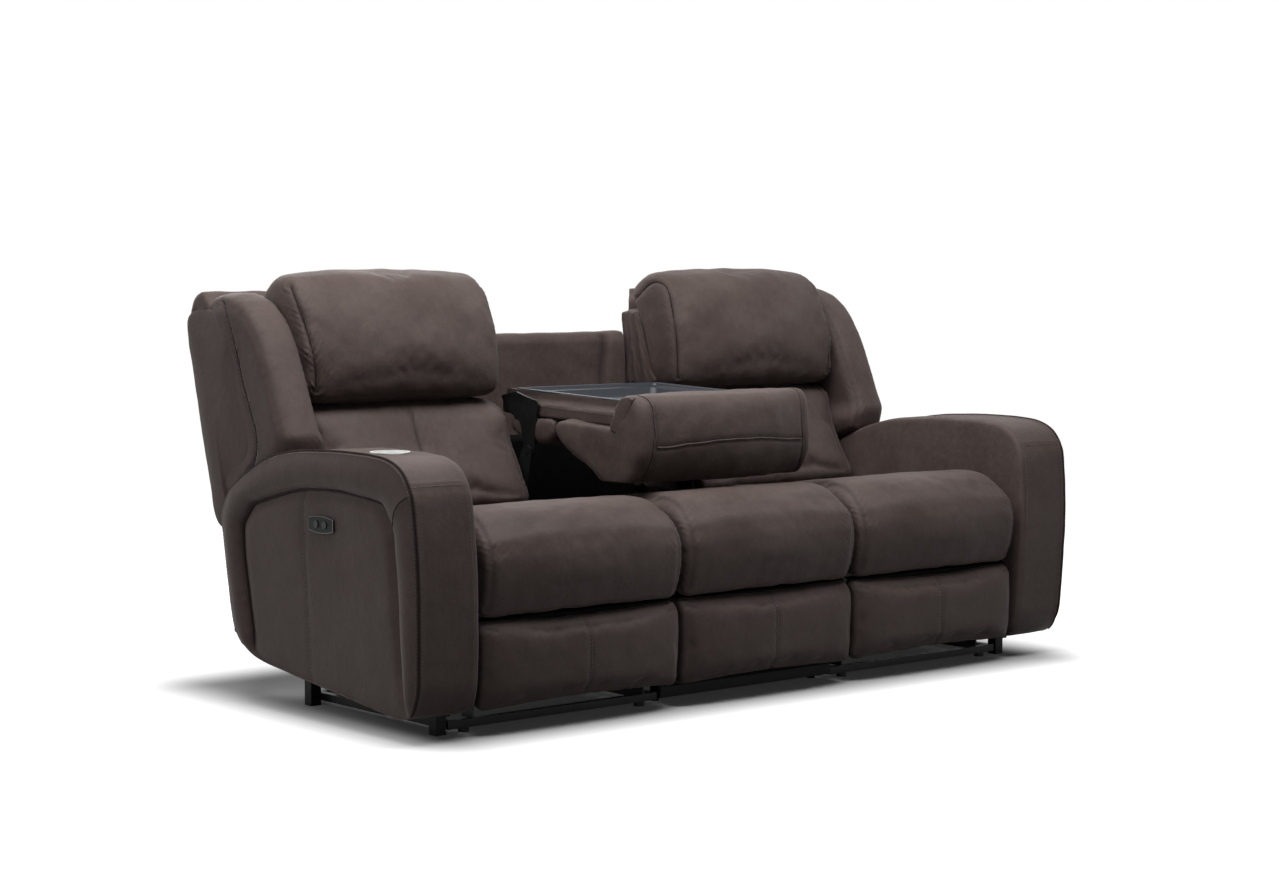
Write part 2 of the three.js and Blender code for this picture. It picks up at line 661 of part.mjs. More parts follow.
// The middle seat stands on a box of boards with a deck across it.
function buildMiddleSeat() {
  buildSeat("middle", -MIDDLE_HALF, MIDDLE_HALF);
  const half = MIDDLE_HALF - FRAME_MARGIN;
  const wall = (x0, x1, y0, y1) => block(x0, x1, y0, y1, MIDDLE_FOOT, FRAME_TOP);
  const walls = [
    wall(-half, -half + FRAME_BOARD, FRAME_FRONT, MIDDLE_REAR),
    wall(half - FRAME_BOARD, half, FRAME_FRONT, MIDDLE_REAR),
    wall(-half, half, MIDDLE_REAR - FRAME_BOARD, MIDDLE_REAR),
    wall(-half, half, FRAME_FRONT, FRAME_FRONT + FRAME_BOARD),
  ];
  const deck = block(-half, half, FRAME_FRONT, FRAME_REAR, FRAME_TOP - DECK_BOARD, FRAME_TOP);
  const glides = [-1, 1].flatMap((sign) =>
    [FRAME_FRONT + MIDDLE_GLIDE_INSET, MIDDLE_REAR - MIDDLE_GLIDE_INSET].map((y) =>
      barZ(sign * (half - FRAME_BOARD / 2), y, 0, MIDDLE_FOOT + SLIDE, FRAME_BOARD / 2, 12),
    ),
  );
  place("middle_seat_frame", join(...walls, deck, ...glides), WOOD);
  place("middle_front_panel", paddedPanel(FRAME_FRONT, -MIDDLE_HALF, MIDDLE_HALF), COVER);
  const kickFront = FRAME_FRONT + KICK_SETBACK;
  const kickTop = MIDDLE_FOOT - TOUCH;
  const kickRear = kickFront + KICK_THICK;
  const kick = block(-MIDDLE_HALF, MIDDLE_HALF, kickFront, kickRear, kickTop - KICK_HEIGHT, kickTop);
  place("kick_board", kick, BLACK);
}

// Side view of a lower front panel.
function frontPanelOutline(back) {
  const height = PANEL_TOP - PANEL_BOTTOM;
  const up = (share) => PANEL_BOTTOM + share * height;
  return smooth(
    [
      [10, PANEL_BOTTOM], [back - 4, PANEL_BOTTOM], [back, up(0.04)], [back, up(0.96)], [back - 4, PANEL_TOP],
      [18, PANEL_TOP], [4, up(0.96)], [0, up(0.8)], [0, up(0.46)], [3, up(0.15)],
    ],
    20,
  );
}

// A panel that swells in front and lies flat against the board behind it.
function paddedPanel(back, from, to) {
  const pad = padded(frontPanelOutline(back), from, to, { edge: PANEL_EDGE, swell: PAD_BULGE });
  return cut(pad, block(from - PLAY, to + PLAY, back - SLIDE, back + RUN_OUT, 0, SEAT_BASE));
}

// Outer seats: base, mechanism and footrest

function buildRecliner(side, label) {
  const from = Math.min(side * SEAT_INNER, side * SEAT_OUTER);
  const to = Math.max(side * SEAT_INNER, side * SEAT_OUTER);
  const centre = side * SEAT_CENTRE;
  buildSeat(label, from, to);
  place(label + "_seat_frame", seatRing(from + FRAME_MARGIN, to - FRAME_MARGIN), WOOD);
  place(label + "_seat_springs", springDeck(from + FRAME_MARGIN, to - FRAME_MARGIN), WIRE);
  buildBase(side, label);
  for (const [name, sign] of [["_inner_side_plate", -1], ["_outer_side_plate", 1]]) {
    const x = centre + (side * sign * SIDE_PLATE_SPREAD) / 2;
    const holes = [[...LINK_PIVOT, PIN_RADIUS + PIN_GAP], [...BACK_PIVOT, BACK_PIN_RADIUS + PIN_GAP]];
    place(label + name, prism(sidePlateOutline(), x - SIDE_PLATE / 2, x + SIDE_PLATE / 2, holes), STEEL);
  }
  buildLinkage(label, centre);
  buildActuator(label, centre);
}

function sidePlateOutline() {
  const top = FRAME_BOTTOM - TOUCH;
  const foot = RAIL_TOP + TOUCH;
  const arch = foot + SIDE_PLATE_ARCH;
  const frontFoot = BASE_FRONT + SIDE_PLATE_FOOT;
  const rearFoot = BASE_REAR - SIDE_PLATE_FOOT;
  const [y, z] = BACK_PIVOT;
  return [
    [BASE_FRONT, foot], [frontFoot, foot], [frontFoot + 30, arch], [rearFoot - 40, arch], [rearFoot, foot],
    [BASE_REAR, foot], [y + 26, z + 6], [y + 12, z + 26], [FRAME_REAR - 6, top], [BASE_FRONT + 4, top],
    [BASE_FRONT, top - 40],
  ];
}

// A welded ring of square tube on four glides.
function buildBase(side, label) {
  const from = side * SEAT_INNER;
  const to = side * (ARM_INNER - ARM_LEAN + BASE_OVER_ARM);
  const x0 = Math.min(from, to);
  const x1 = Math.max(from, to);
  const outside = block(x0, x1, BASE_FRONT, BASE_REAR, GLIDE_HEIGHT, RAIL_TOP);
  const inside = block(
    x0 + RAIL_SIZE, x1 - RAIL_SIZE, BASE_FRONT + RAIL_SIZE, BASE_REAR - RAIL_SIZE,
    GLIDE_HEIGHT - SLIDE, RAIL_TOP + SLIDE,
  );
  const middle = RAIL_SIZE / 2;
  const glides = [x0 + middle + GLIDE_INSET, x1 - middle - GLIDE_INSET].flatMap((x) =>
    [BASE_FRONT + middle, BASE_REAR - middle].map((y) => barZ(x, y, 0, GLIDE_HEIGHT + SLIDE, GLIDE_RADIUS)),
  );
  place(label + "_base_frame", join(cut(outside, inside), ...glides), STEEL);
}

// A flat bar between two pins, in the y-z plane, with round ends.
function link(start, end, x, holes) {
  const angle = Math.atan2(end[1] - start[1], end[0] - start[0]);
  const radius = LINK_WIDTH / 2;
  const steps = 6;
  const outline = [];
  for (const [point, turn] of [[end, angle - Math.PI / 2], [start, angle + Math.PI / 2]]) {
    for (let i = 0; i <= steps; i++) {
      const a = turn + (Math.PI * i) / steps;
      outline.push([point[0] + radius * Math.cos(a), point[1] + radius * Math.sin(a)]);
    }
  }
  return prism(outline, x - LINK_THICK / 2, x + LINK_THICK / 2, holes);
}

// Each pair of links is one welded piece with a tube across; the footrest's board carries two ears.
function buildLinkage(label, centre) {
  const reach = SIDE_PLATE_SPREAD / 2;
  const rearAt = reach - LINK_STEP;
  const frontAt = reach - 2 * LINK_STEP;
  const boardAt = reach - 3 * LINK_STEP;
  const bite = LINK_THICK / 2;
  const hole = PIN_RADIUS + PIN_GAP;
  const rear = [barX(centre - rearAt, centre + rearAt, LINK_PIVOT, TUBE_RADIUS)];
  const front = [barX(centre - frontAt, centre + frontAt, LINK_KNEE, KNEE_TUBE_RADIUS)];
  const half = (SEAT_OUTER - SEAT_INNER) / 2;
  const boardFace = PAD_BACK + TOUCH;
  const board = block(
    centre - half + FRAME_MARGIN, centre + half - FRAME_MARGIN, boardFace, boardFace + FOOT_BOARD,
    PANEL_BOTTOM + FOOT_BOARD_INSET, PANEL_TOP - FOOT_BOARD_INSET,
  );
  const foot = [board];
  for (const sign of [-1, 1]) {
    const outwards = (distance) => centre + sign * distance;
    rear.push(link(LINK_PIVOT, LINK_KNEE, outwards(rearAt), [[...LINK_KNEE, hole]]));
    rear.push(barX(outwards(rearAt - bite), outwards(reach + SIDE_PLATE), LINK_PIVOT, PIN_RADIUS));
    front.push(link(LINK_KNEE, LINK_TIP, outwards(frontAt), [[...LINK_TIP, hole]]));
    front.push(barX(outwards(frontAt - bite), outwards(rearAt + bite + SLIDE), LINK_KNEE, PIN_RADIUS));
    foot.push(prism(bracketOutline(), outwards(boardAt) - bite, outwards(boardAt) + bite));
    foot.push(barX(outwards(boardAt - bite), outwards(frontAt + bite + SLIDE), LINK_TIP, PIN_RADIUS));
  }
  place(label + "_rear_links", join(...rear), STEEL);
  place(label + "_front_links", join(...front), STEEL);
  place(label + "_footrest_board", join(...foot), WOOD);
  place(label + "_footrest_pad", paddedPanel(PAD_BACK, centre - half, centre + half), COVER);
}

// The ear on the back of the footrest board.
function bracketOutline() {
  const face = PAD_BACK + TOUCH + FOOT_BOARD - SLIDE;
  const [y, z] = LINK_TIP;
  return [
    [face, z - 50], [face, z + 60], [y - 4, z + 26], [y + 11, z + 10], [y + 11, z - 10], [y - 4, z - 24],
  ];
}

// A fixed drive unit with a rail, and the carriage that runs along it.
function buildActuator(label, centre) {
  const half = RAIL_WIDTH / 2;
  const tall = ACTUATOR_RAIL / 2;
  const rear = BASE_REAR - ACTUATOR_FROM_REAR;
  const front = rear - ACTUATOR_LENGTH;
  const wide = ACTUATOR_BLOCK / 2;
  const rail = block(centre - half, centre + half, front, rear - wide, ACTUATOR_Z - tall, ACTUATOR_Z + tall);
  const gears = block(
    centre - wide, centre + wide, rear - ACTUATOR_BLOCK, rear, RAIL_TOP + TOUCH, ACTUATOR_Z + ACTUATOR_HEAD,
  );
  const motor = barX(centre - wide, centre + MOTOR_REACH, [rear - wide, ACTUATOR_Z], MOTOR_RADIUS, 20);
  place(label + "_actuator", join(rail, gears, motor), BLACK);
  const start = front + CARRIAGE_START;
  const end = start + CARRIAGE_LENGTH;
  const bore = [half + SLIDE, tall + SLIDE];
  const outer = bore.map((size) => size + CARRIAGE_WALL);
  const tube = (size, from, to) => block(
    centre - size[0], centre + size[0], from, to, ACTUATOR_Z - size[1], ACTUATOR_Z + size[1],
  );
  const sleeve = cut(tube(outer, start, end), tube(bore, start - SLIDE, end + SLIDE));
  const lugHalf = CARRIAGE_LUG_THICK / 2;
  const top = ACTUATOR_Z + outer[1];
  const lug = block(
    centre - lugHalf, centre + lugHalf, start + CARRIAGE_WALL, end - CARRIAGE_WALL,
    top - SLIDE, top + CARRIAGE_LUG,
  );
  place(label + "_actuator_carriage", join(sleeve, lug), STEEL);
}

// Backs of the outer seats

// The back's board leans: its rear face runs from the arm's rear end up to the shell's top.
function boardRear(z) {
  const low = ARM_DEPTH + BOARD_PAST_ARM;
  return low + ((REAR_REACH - BOARD_TOP_TO_REAR - low) * (z - BOARD_BOTTOM)) / (BOARD_TOP - BOARD_BOTTOM);
}

function boardFront(z) {
  return boardRear(z) - BACK_BOARD;
}

// A place that stands in front of the board's front face by a distance.
function ahead(distance, z) {
  return [boardFront(z) - distance, z];
}

// A place that stands behind the board's rear face by a distance.
function behind(distance, z) {
  return [boardRear(z) + distance, z];
}

function buildBack(side, label) {
  const inner = side * (MIDDLE_HALF + BACK_GAP);
  const seatOuter = side * (SEAT_OUTER - BACK_SIDE_GAP);
  const wingInner = seatOuter + side * PLAY;
  const wingOuter = wingInner + side * WING_WIDTH;
  const over = side * PLAY;
  const bare = slantedCorner(side, inner, SLANT_PAD);
  place(label + "_back_frame", cut(backFrame(side, inner, seatOuter), bare), WOOD);
  const shell = padded(shellOutline(), inner, wingOuter, { edge: SHELL_EDGE });
  place(label + "_back_shell", cut(shell, slantedCorner(side, inner, 0)), COVER);
  const padSpace = prism(behindPads(boardFront), inner - over, seatOuter + over);
  const wingSpace = prism(behindPads(boardRear), wingInner - over, wingOuter + over);
  const lumbar = { edge: CUSHION_EDGE, swell: LUMBAR_SWELL, pull: BACK_PULL };
  place(label + "_back_cushion", cut(padded(lumbarOutline(), inner, seatOuter, lumbar), padSpace), COVER);
  const head = { edge: HEAD_EDGE, swell: HEAD_SWELL, crown: HEAD_CROWN, pull: BACK_PULL };
  place(label + "_headrest", padded(headOutline(), inner, seatOuter - side * HEAD_SIDE_GAP, head), COVER);
  const wing = { edge: CUSHION_EDGE, swell: WING_SWELL, crown: WING_SWELL };
  place(label + "_wing", cut(padded(wingOutline(), wingInner, wingOuter, wing), wingSpace), COVER);
}

// The room that each back leaves beside the console: its upper rear corner slants in.
function slantedCorner(side, inner, inset) {
  const top = SHELL_TOP + RUN_OUT;
  const full = SHELL_TOP - SLANT_BELOW_SHELL;
  const reach = SLANT_WIDTH + SLANT_TO_REAR;
  const section = [
    [-inset, full], [SLANT_FALL - inset, full - SLANT_FALL],
    [reach, full - SLANT_FALL], [reach, top], [-inset, top],
  ];
  const turn = Math.atan2(SLANT_TO_REAR, SLANT_WIDTH);
  return prism(section, -reach, reach).rotateZ(side * turn).translate(inner, REAR_REACH - SLANT_TO_REAR, 0);
}

// A panel with two steel arms that reach down to the recline pivot, and a tube between them.
function backFrame(side, inner, outer) {
  const low = BOARD_BOTTOM;
  const panel = [ahead(0, low), behind(0, low), behind(0, BOARD_TOP), ahead(0, BOARD_TOP)];
  const [y, z] = BACK_PIVOT;
  const armOutlineBack = [
    [y - 20, z - 8], [y - 4, z - 20], [y + 16, z - 16], [boardFront(low) + 6, low - 40],
    [boardRear(low) - 10, low - 6], [boardRear(low) - 10, low + SLIDE], [boardFront(low) - 40, low - 12],
    [y + 0.66 * (boardFront(low) - y), low - 46], [y - 16, z + 14],
  ];
  const centre = side * SEAT_CENTRE;
  const thick = BACK_ARM_THICK / 2;
  const at = SIDE_PLATE_SPREAD / 2 - SIDE_PLATE / 2 - PLAY - thick;
  const pieces = [
    prism(panel, inner + side * FRAME_MARGIN, outer),
    barX(centre - at, centre + at, BACK_PIVOT, BACK_PIN_RADIUS),
  ];
  for (const sign of [-1, 1]) {
    const x = centre + sign * at;
    const pinEnd = centre + sign * (SIDE_PLATE_SPREAD / 2 + SIDE_PLATE);
    pieces.push(prism(armOutlineBack, x - thick, x + thick));
    pieces.push(barX(x, pinEnd, BACK_PIVOT, BACK_PIN_RADIUS));
  }
  return join(...pieces);
}

// The space behind a pad: a face of the back's panel, and the shell's own pad above it.
function behindPads(face) {
  const low = BOARD_BOTTOM - RUN_OUT;
  const pad = boardFront(SHELL_TOP) - BACK_PAD - SLIDE;
  return [
    [face(low) - SLIDE, low], [REAR_REACH, low], [REAR_REACH + RUN_OUT, SHELL_TOP + RUN_OUT],
    [pad, SHELL_TOP + RUN_OUT], [pad - 6, SHELL_TOP], ahead(BACK_PAD + SLIDE, LUMBAR_TOP),
    [face(LUMBAR_TOP) - SLIDE, LUMBAR_TOP],
  ];
}

// The padded outside of the back. It wraps over the panel's top and holds the pad behind the
// headrest, and its lower leaf hangs behind the arm.
function shellOutline() {
  const foot = ARM_DEPTH + ARM_TO_SHELL;
  const leaf = foot + SHELL_LEAF;
  const up = (share) => SHELL_BOTTOM + share * (SHELL_TOP - SHELL_BOTTOM);
  const outside = [
    [0, 0], [0.079, 0.18], [0.208, 0.325], [0.361, 0.422], [0.604, 0.531], [0.757, 0.648], [0.891, 0.766],
    [0.975, 0.841], [1, 0.883], [0.985, 0.913], [0.946, 0.942], [0.871, 0.978], [0.762, 0.996], [0.653, 1],
  ].map(([share, rise]) => [leaf + share * (REAR_REACH - leaf), up(rise)]);
  const inside = [[0.74, 0.86], [0.55, 0.724], [0.31, 0.517], [0, 0]].map(([share, rise]) => [
    foot + share * (boardRear(BOARD_BOTTOM) - foot), SHELL_BOTTOM + rise * (BOARD_BOTTOM - SHELL_BOTTOM),
  ]);
  const top = SHELL_TOP;
  const padFoot = LUMBAR_TOP + HEAD_GAP - 2;
  return [
    ...outside, ahead(BACK_PAD - 24, top - 4), ahead(BACK_PAD, top - 30), ahead(BACK_PAD, padFoot),
    ahead(SLIDE, padFoot), ahead(SLIDE, BOARD_TOP + SLIDE), behind(SLIDE, BOARD_TOP + SLIDE),
    behind(SLIDE, BOARD_BOTTOM), ...inside,
  ];
}

function lumbarOutline() {
  const at = (distance, share) => ahead(distance, LUMBAR_BOTTOM + share * LUMBAR_HEIGHT);
  return smooth(
    [
      at(247, 0.007), at(184, 0), at(84, 0), at(14, 0.007), at(8, 0.081), at(2, 0.5), at(2, 0.904),
      at(24, 0.993), at(60, 1), at(130, 1), at(182, 1), at(206, 0.97), at(215, 0.904), at(221, 0.798),
      at(228, 0.61), at(241, 0.408), at(254, 0.206), at(264, 0.096), at(264, 0.044),
    ],
    28,
  );
}

function headOutline() {
  const at = (distance, share) => ahead(distance, HEAD_BOTTOM + share * HEAD_HEIGHT);
  return smooth(
    [
      at(201, 0), at(141, 0), at(82, 0.006), at(69, 0.065), at(71, 0.252), at(72, 0.445), at(69, 0.623),
      at(77, 0.735), at(99, 0.852), at(135, 0.942), at(178, 1), at(216, 0.987), at(248, 0.916), at(267, 0.787),
      at(274, 0.613), at(274, 0.445), at(263, 0.252), at(248, 0.097), at(230, 0.026),
    ],
    28,
  );
}

// The wing's underside follows the arm's arch at a small distance.
function wingOutline() {
  const under = [328, 276, 216, 166, 136, 98].map((distance) => {
    const y = boardRear(ARM_HEIGHT) - distance;
    return [y, Math.max(WING_BOTTOM, armTop(y) + WING_OVER_ARM)];
  });
  const at = (distance, share) => {
    const z = WING_BOTTOM + share * (WING_TOP - WING_BOTTOM);
    return [boardRear(z) - distance, z];
  };
  return smooth(
    [
      ...under, at(2, 0.02), at(2, 0.258), at(2, 0.456), at(2, 0.655), at(38, 0.813), at(59, 0.933),
      at(93, 0.988), at(144, 1), at(194, 0.996), at(240, 0.956), at(277, 0.877), at(299, 0.778), at(314, 0.655),
      at(324, 0.526), at(334, 0.397), at(340, 0.313),
    ],
    30,
  );
}

// Middle back: fixed rear panel and folding console

function buildCentrePanel() {
  const top = CENTRE_PANEL_TOP;
  const foot = MIDDLE_REAR + TOUCH;
  const at = (distance, share) => (
    behind(distance - CENTRE_PANEL_FORWARD * share, SEAT_BASE + share * (top - SEAT_BASE))
  );
  const lowMiddle = (SHELL_BOTTOM + SEAT_BASE) / 2 + HEAD_EDGE;
  const outline = [
    [foot, SHELL_BOTTOM], [foot + 26, SHELL_BOTTOM], [foot + 40, lowMiddle], at(29, 0.134), at(36, 0.5),
    at(27, 0.785), at(17, 0.943), at(6, 0.984), at(-12, 1), at(-31, 0.992), at(-38, 0.951), at(-20, 0.663),
    at(-12, 0.337), [foot + 14, SEAT_BASE + 26], [foot, SEAT_BASE],
  ];
  place("rear_centre_panel", padded(outline, -MIDDLE_HALF, MIDDLE_HALF, { edge: SHELL_EDGE }), COVER);
}

// Turns a piece of the console about its rear top corner to the console's slight slope.
function tilted(geometry) {
  geometry.translate(0, -CONSOLE_REAR, -CONSOLE_TOP);
  geometry.rotateX(THREE.MathUtils.degToRad(CONSOLE_TILT));
  return geometry.translate(0, CONSOLE_REAR, CONSOLE_TOP);
}

function buildConsole() {
  const trayFront = CONSOLE_FRONT + TRAY_MARGIN;
  const trayRear = CONSOLE_REAR - TRAY_MARGIN;
  const well = (inset, low, high) => block(
    -TRAY_HALF + inset, TRAY_HALF - inset, trayFront + inset, trayRear - inset,
    CONSOLE_TOP + low, CONSOLE_TOP + high,
  );
  const board = block(-CONSOLE_HALF, CONSOLE_HALF, CONSOLE_FRONT, CONSOLE_REAR, CONSOLE_UNDER, CONSOLE_TOP);
  place("console_frame", tilted(cut(board, well(-TOUCH, -TRAY_DEPTH - TOUCH, SLIDE))), COVER);
  const tray = cut(
    well(0, -TRAY_DEPTH, TRAY_PROUD),
    well(TRAY_RIM, -TRAY_LEDGE_DEPTH, TRAY_PROUD + SLIDE),
    well(TRAY_LEDGE, TRAY_FLOOR - TRAY_DEPTH, 0),
  );
  place("console_tray", tilted(tray), PLASTIC);
  const boardSpace = tilted(
    block(
      -CONSOLE_HALF - PLAY, CONSOLE_HALF + PLAY, CONSOLE_FRONT - SLIDE, CONSOLE_REAR + RUN_OUT,
      CONSOLE_UNDER - SLIDE, CONSOLE_TOP + RUN_OUT,
    ),
  );
  const pad = { edge: CUSHION_EDGE, pull: BACK_PULL };
  const cushion = padded(consoleCushionOutline(), -CONSOLE_HALF, CONSOLE_HALF, pad);
  place("console_back_cushion", cut(cushion, boardSpace), COVER);
  const roll = { edge: HEAD_EDGE, swell: ROLL_BULGE, pull: BACK_PULL };
  const headrest = padded(consoleHeadOutline(), -CONSOLE_HALF, CONSOLE_HALF, roll);
  place("console_headrest", cut(headrest, boardSpace), COVER);
  for (const [side, label] of [[-1, "left"], [1, "right"]]) buildHinge(side, label);
}

// A place on the underside of the console's board.
function underside(y) {
  const slope = Math.tan(THREE.MathUtils.degToRad(CONSOLE_TILT));
  return [y, CONSOLE_UNDER - slope * (CONSOLE_REAR - y) - SLIDE];
}

function consoleCushionOutline() {
  const rear = CONSOLE_REAR;
  const at = (y, share) => [y, CONSOLE_UNDER - share * CONSOLE_PAD_DEPTH];
  return smooth(
    [
      underside(rear - 218), underside(rear - 162), underside(rear - 102), underside(rear - 46),
      at(rear - 32, 0.23), at(rear - 50, 0.66), at(rear - 102, 0.89), at(rear - 162, 1), at(rear - 208, 0.91),
      at(rear - CONSOLE_SPLIT, 0.6),
    ],
    20,
  );
}

// The console's roll: it wraps up in front of the board and hangs below it.
function consoleHeadOutline() {
  const front = CONSOLE_FRONT - SLIDE - 1;
  const end = CONSOLE_REAR - CONSOLE_SPLIT - HEAD_GAP;
  const along = (share) => front + share * (end - front);
  const lobe = [[0.008, 142], [0.242, 128], [0.467, 104], [0.7, 80], [0.91, 56], [0.992, 34]];
  const face = [
    [1, -32], [6, -58], [24, -70], [44, -73], [68, -64], [82, -38], [88, -2], [91, 38], [88, 70],
    [70, 104], [36, 132],
  ];
  return smooth(
    [
      underside(end), underside(along(0.615)), underside(along(0.205)), underside(front + 14),
      [front, underside(front)[1] + 11], ...face.map(([reach, drop]) => [front - reach, CONSOLE_UNDER - drop]),
      ...lobe.map(([share, drop]) => [along(share), CONSOLE_UNDER - drop]),
    ],
    40,
  );
}

// One plate turns with the console on its own pin; the other stands on the middle seat's frame.
function buildHinge(side, label) {
  const [y, z] = CONSOLE_PIVOT;
  const x0 = side * (CONSOLE_HALF + SLIDE);
  const x1 = x0 + side * HINGE_PLATE;
  const x2 = x1 + side * HINGE_STEP;
  const x3 = x2 + side * SIDE_PLATE;
  const moving = prism(
    [
      [y - 12, z - 14], [y + 4, z - 18], [y + 18, z - 8], [y + 24, z + 30], [y + 40, z + 78], [y + 94, z + 101],
      [y + 114, z + 134], [y + 112, z + 139], [y + 52, z + 149], [y + 10, z + 138], [y - 30, z + 130],
      [y - 39, z + 120], [y - 30, z + 92], [y - 22, z + 30], [y - 20, z],
    ],
    x0, x1,
  );
  const pin = barX(x0, x3 + side * 2, CONSOLE_PIVOT, PIN_RADIUS);
  place(label + "_console_hinge_plate", join(moving, pin), STEEL);
  const low = SEAT_BASE - 124;
  const waist = FRAME_TOP + 0.47 * (z - FRAME_TOP);
  const post = prism(
    [
      [y - 40, low], [y + 60, low], [y + 66, waist], [y + 26, z - 4], [y + 14, z + 12], [y - 2, z + 17],
      [y - 14, z + 8], [y - 16, z - 14], [y + 4, waist], [y + 4, FRAME_TOP], [y - 40, FRAME_TOP],
    ],
    x2, x3, [[y, z, PIN_RADIUS + PIN_GAP]],
  );
  const wall = side * (MIDDLE_HALF - FRAME_MARGIN + TOUCH);
  const spacer = block(wall, x3, y - 30, y + 50, low + 10, FRAME_TOP - 20);
  place(label + "_console_hinge_post", join(post, spacer), STEEL);
}

function buildSofa() {
  for (const [side, label] of [[-1, "left"], [1, "right"]]) {
    buildArm(side, label);
    buildRecliner(side, label);
    buildBack(side, label);
  }
  buildCupHolder();
  buildMiddleSeat();
  buildCentrePanel();
  buildConsole();
}

buildSofa();

export default sofa;
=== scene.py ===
# The looks of the power sofa with drop-down console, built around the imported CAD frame. Metres.
import math

import bmesh
import bpy
import numpy as np
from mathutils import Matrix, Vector
from mathutils.bvhtree import BVHTree


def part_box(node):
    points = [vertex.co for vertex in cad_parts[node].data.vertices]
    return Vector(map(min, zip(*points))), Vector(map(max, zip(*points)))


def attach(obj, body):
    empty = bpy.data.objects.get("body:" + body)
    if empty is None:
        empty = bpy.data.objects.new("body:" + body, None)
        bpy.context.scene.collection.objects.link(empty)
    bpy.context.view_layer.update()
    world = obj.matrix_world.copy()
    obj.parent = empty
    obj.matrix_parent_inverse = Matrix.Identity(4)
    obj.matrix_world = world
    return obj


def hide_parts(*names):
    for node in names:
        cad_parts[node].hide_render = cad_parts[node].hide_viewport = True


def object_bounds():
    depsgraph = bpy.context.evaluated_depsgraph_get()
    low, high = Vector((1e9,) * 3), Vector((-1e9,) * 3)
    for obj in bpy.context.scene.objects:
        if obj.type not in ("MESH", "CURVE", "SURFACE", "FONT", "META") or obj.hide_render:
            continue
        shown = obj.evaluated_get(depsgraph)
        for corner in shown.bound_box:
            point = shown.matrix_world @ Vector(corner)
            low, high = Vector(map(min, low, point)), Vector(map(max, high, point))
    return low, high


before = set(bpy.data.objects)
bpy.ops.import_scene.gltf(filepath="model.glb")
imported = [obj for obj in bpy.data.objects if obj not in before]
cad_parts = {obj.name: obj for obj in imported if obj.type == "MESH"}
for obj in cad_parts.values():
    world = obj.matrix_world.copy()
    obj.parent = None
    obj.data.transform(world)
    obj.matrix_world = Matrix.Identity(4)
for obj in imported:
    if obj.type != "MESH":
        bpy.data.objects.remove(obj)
cad_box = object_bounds()

# Sizes of the upholstery
THREAD_RADIUS = 0.00085
STITCH_LENGTH = 0.0062
STITCH_PITCH = 0.0085
TWIN_STITCH_GAP = 0.009
CORNER_PULL = 0.2
STUFFING_STEPS = 20
PRESSURE = 4.0
WHITE = (1, 1, 1, 1)
X, Y, Z = range(3)


# Shader expressions
class Wire:
    """A shader socket that works in Python arithmetic."""

    def __init__(self, finish, socket):
        self.finish = finish
        self.socket = socket

    def math(self, operation, *values):
        return self.finish.node("Math", {"operation": operation}, values)

    def __add__(self, other):
        return self.math("ADD", self, other)

    def __radd__(self, other):
        return self.math("ADD", other, self)

    def __sub__(self, other):
        return self.math("SUBTRACT", self, other)

    def __rsub__(self, other):
        return self.math("SUBTRACT", other, self)

    def __mul__(self, other):
        return self.math("MULTIPLY", self, other)

    def __rmul__(self, other):
        return self.math("MULTIPLY", other, self)

    def __pow__(self, other):
        return self.math("POWER", self, other)

    def ramp(self, low, high):
        """0 below low, 1 above high and smooth between."""
        places = [self, low, high, 0.0, 1.0]
        return self.finish.node("MapRange", {"interpolation_type": "SMOOTHSTEP"}, places)


class Finish:
    """The nodes of a material or the world."""

    def __init__(self, owner):
        self.owner = owner
        owner.use_nodes = True
        self.nodes = owner.node_tree.nodes
        self.links = owner.node_tree.links
        self.nodes.clear()
        self.place = self.node("TexCoord", output="Object")

    def node(self, kind, settings=None, sockets=(), output=0):
        """Adds a node of a kind, sets it up, fills its sockets and returns one output."""
        made = self.nodes.new("ShaderNode" + kind)
        for key, setting in (settings or {}).items():
            setattr(made, key, setting)
        named = sockets.items() if isinstance(sockets, dict) else enumerate(sockets)
        for key, thing in named:
            if isinstance(thing, Wire):
                self.links.new(thing.socket, made.inputs[key])
            elif thing is not None:
                made.inputs[key].default_value = thing
        return Wire(self, made.outputs[output]) if made.outputs else made

    def noise(self, size, detail=3.0, roughness=0.5, place=None):
        """Cloudy noise from 0 to 1 whose patches are about size metres wide."""
        values = {"Vector": place or self.place, "Scale": 1 / size}
        values |= {"Detail": detail, "Roughness": roughness}
        return self.node("TexNoise", {}, values)

    def cells(self, size):
        """Distance from the middle of irregular cells about size metres wide."""
        values = {"Vector": self.place, "Scale": 1 / size, "Randomness": 1.0}
        return self.node("TexVoronoi", {"feature": "F1"}, values)

    def stretched(self, x, y, z):
        """The object's own coordinates, scaled along each axis."""
        return self.node("VectorMath", {"operation": "MULTIPLY"}, [self.place, (x, y, z)])

    def attribute(self, name):
        return self.node("Attribute", {"attribute_name": name}, output="Fac")

    def blend(self, factor, first, second):
        """A colour between two colours; a Mix node's colours are its sockets 6 and 7."""
        values = {0: factor, 6: colour(first), 7: colour(second)}
        return self.node("Mix", {"data_type": "RGBA"}, values, 2)

    def bump(self, height, depth, under=None):
        """A normal from a height, whose full range is depth metres."""
        values = {"Strength": 1.0, "Distance": depth, "Height": height, "Normal": under}
        return self.node("Bump", {}, values)

    def shade(self, **values):
        """Ends the material with a Principled shader."""
        named = {key.replace("_", " "): thing for key, thing in values.items()}
        shader = self.node("BsdfPrincipled", {}, named)
        self.node("OutputMaterial", {}, {"Surface": shader})
        return self.owner


def colour(thing):
    return thing if isinstance(thing, Wire) else (*thing, 1.0)


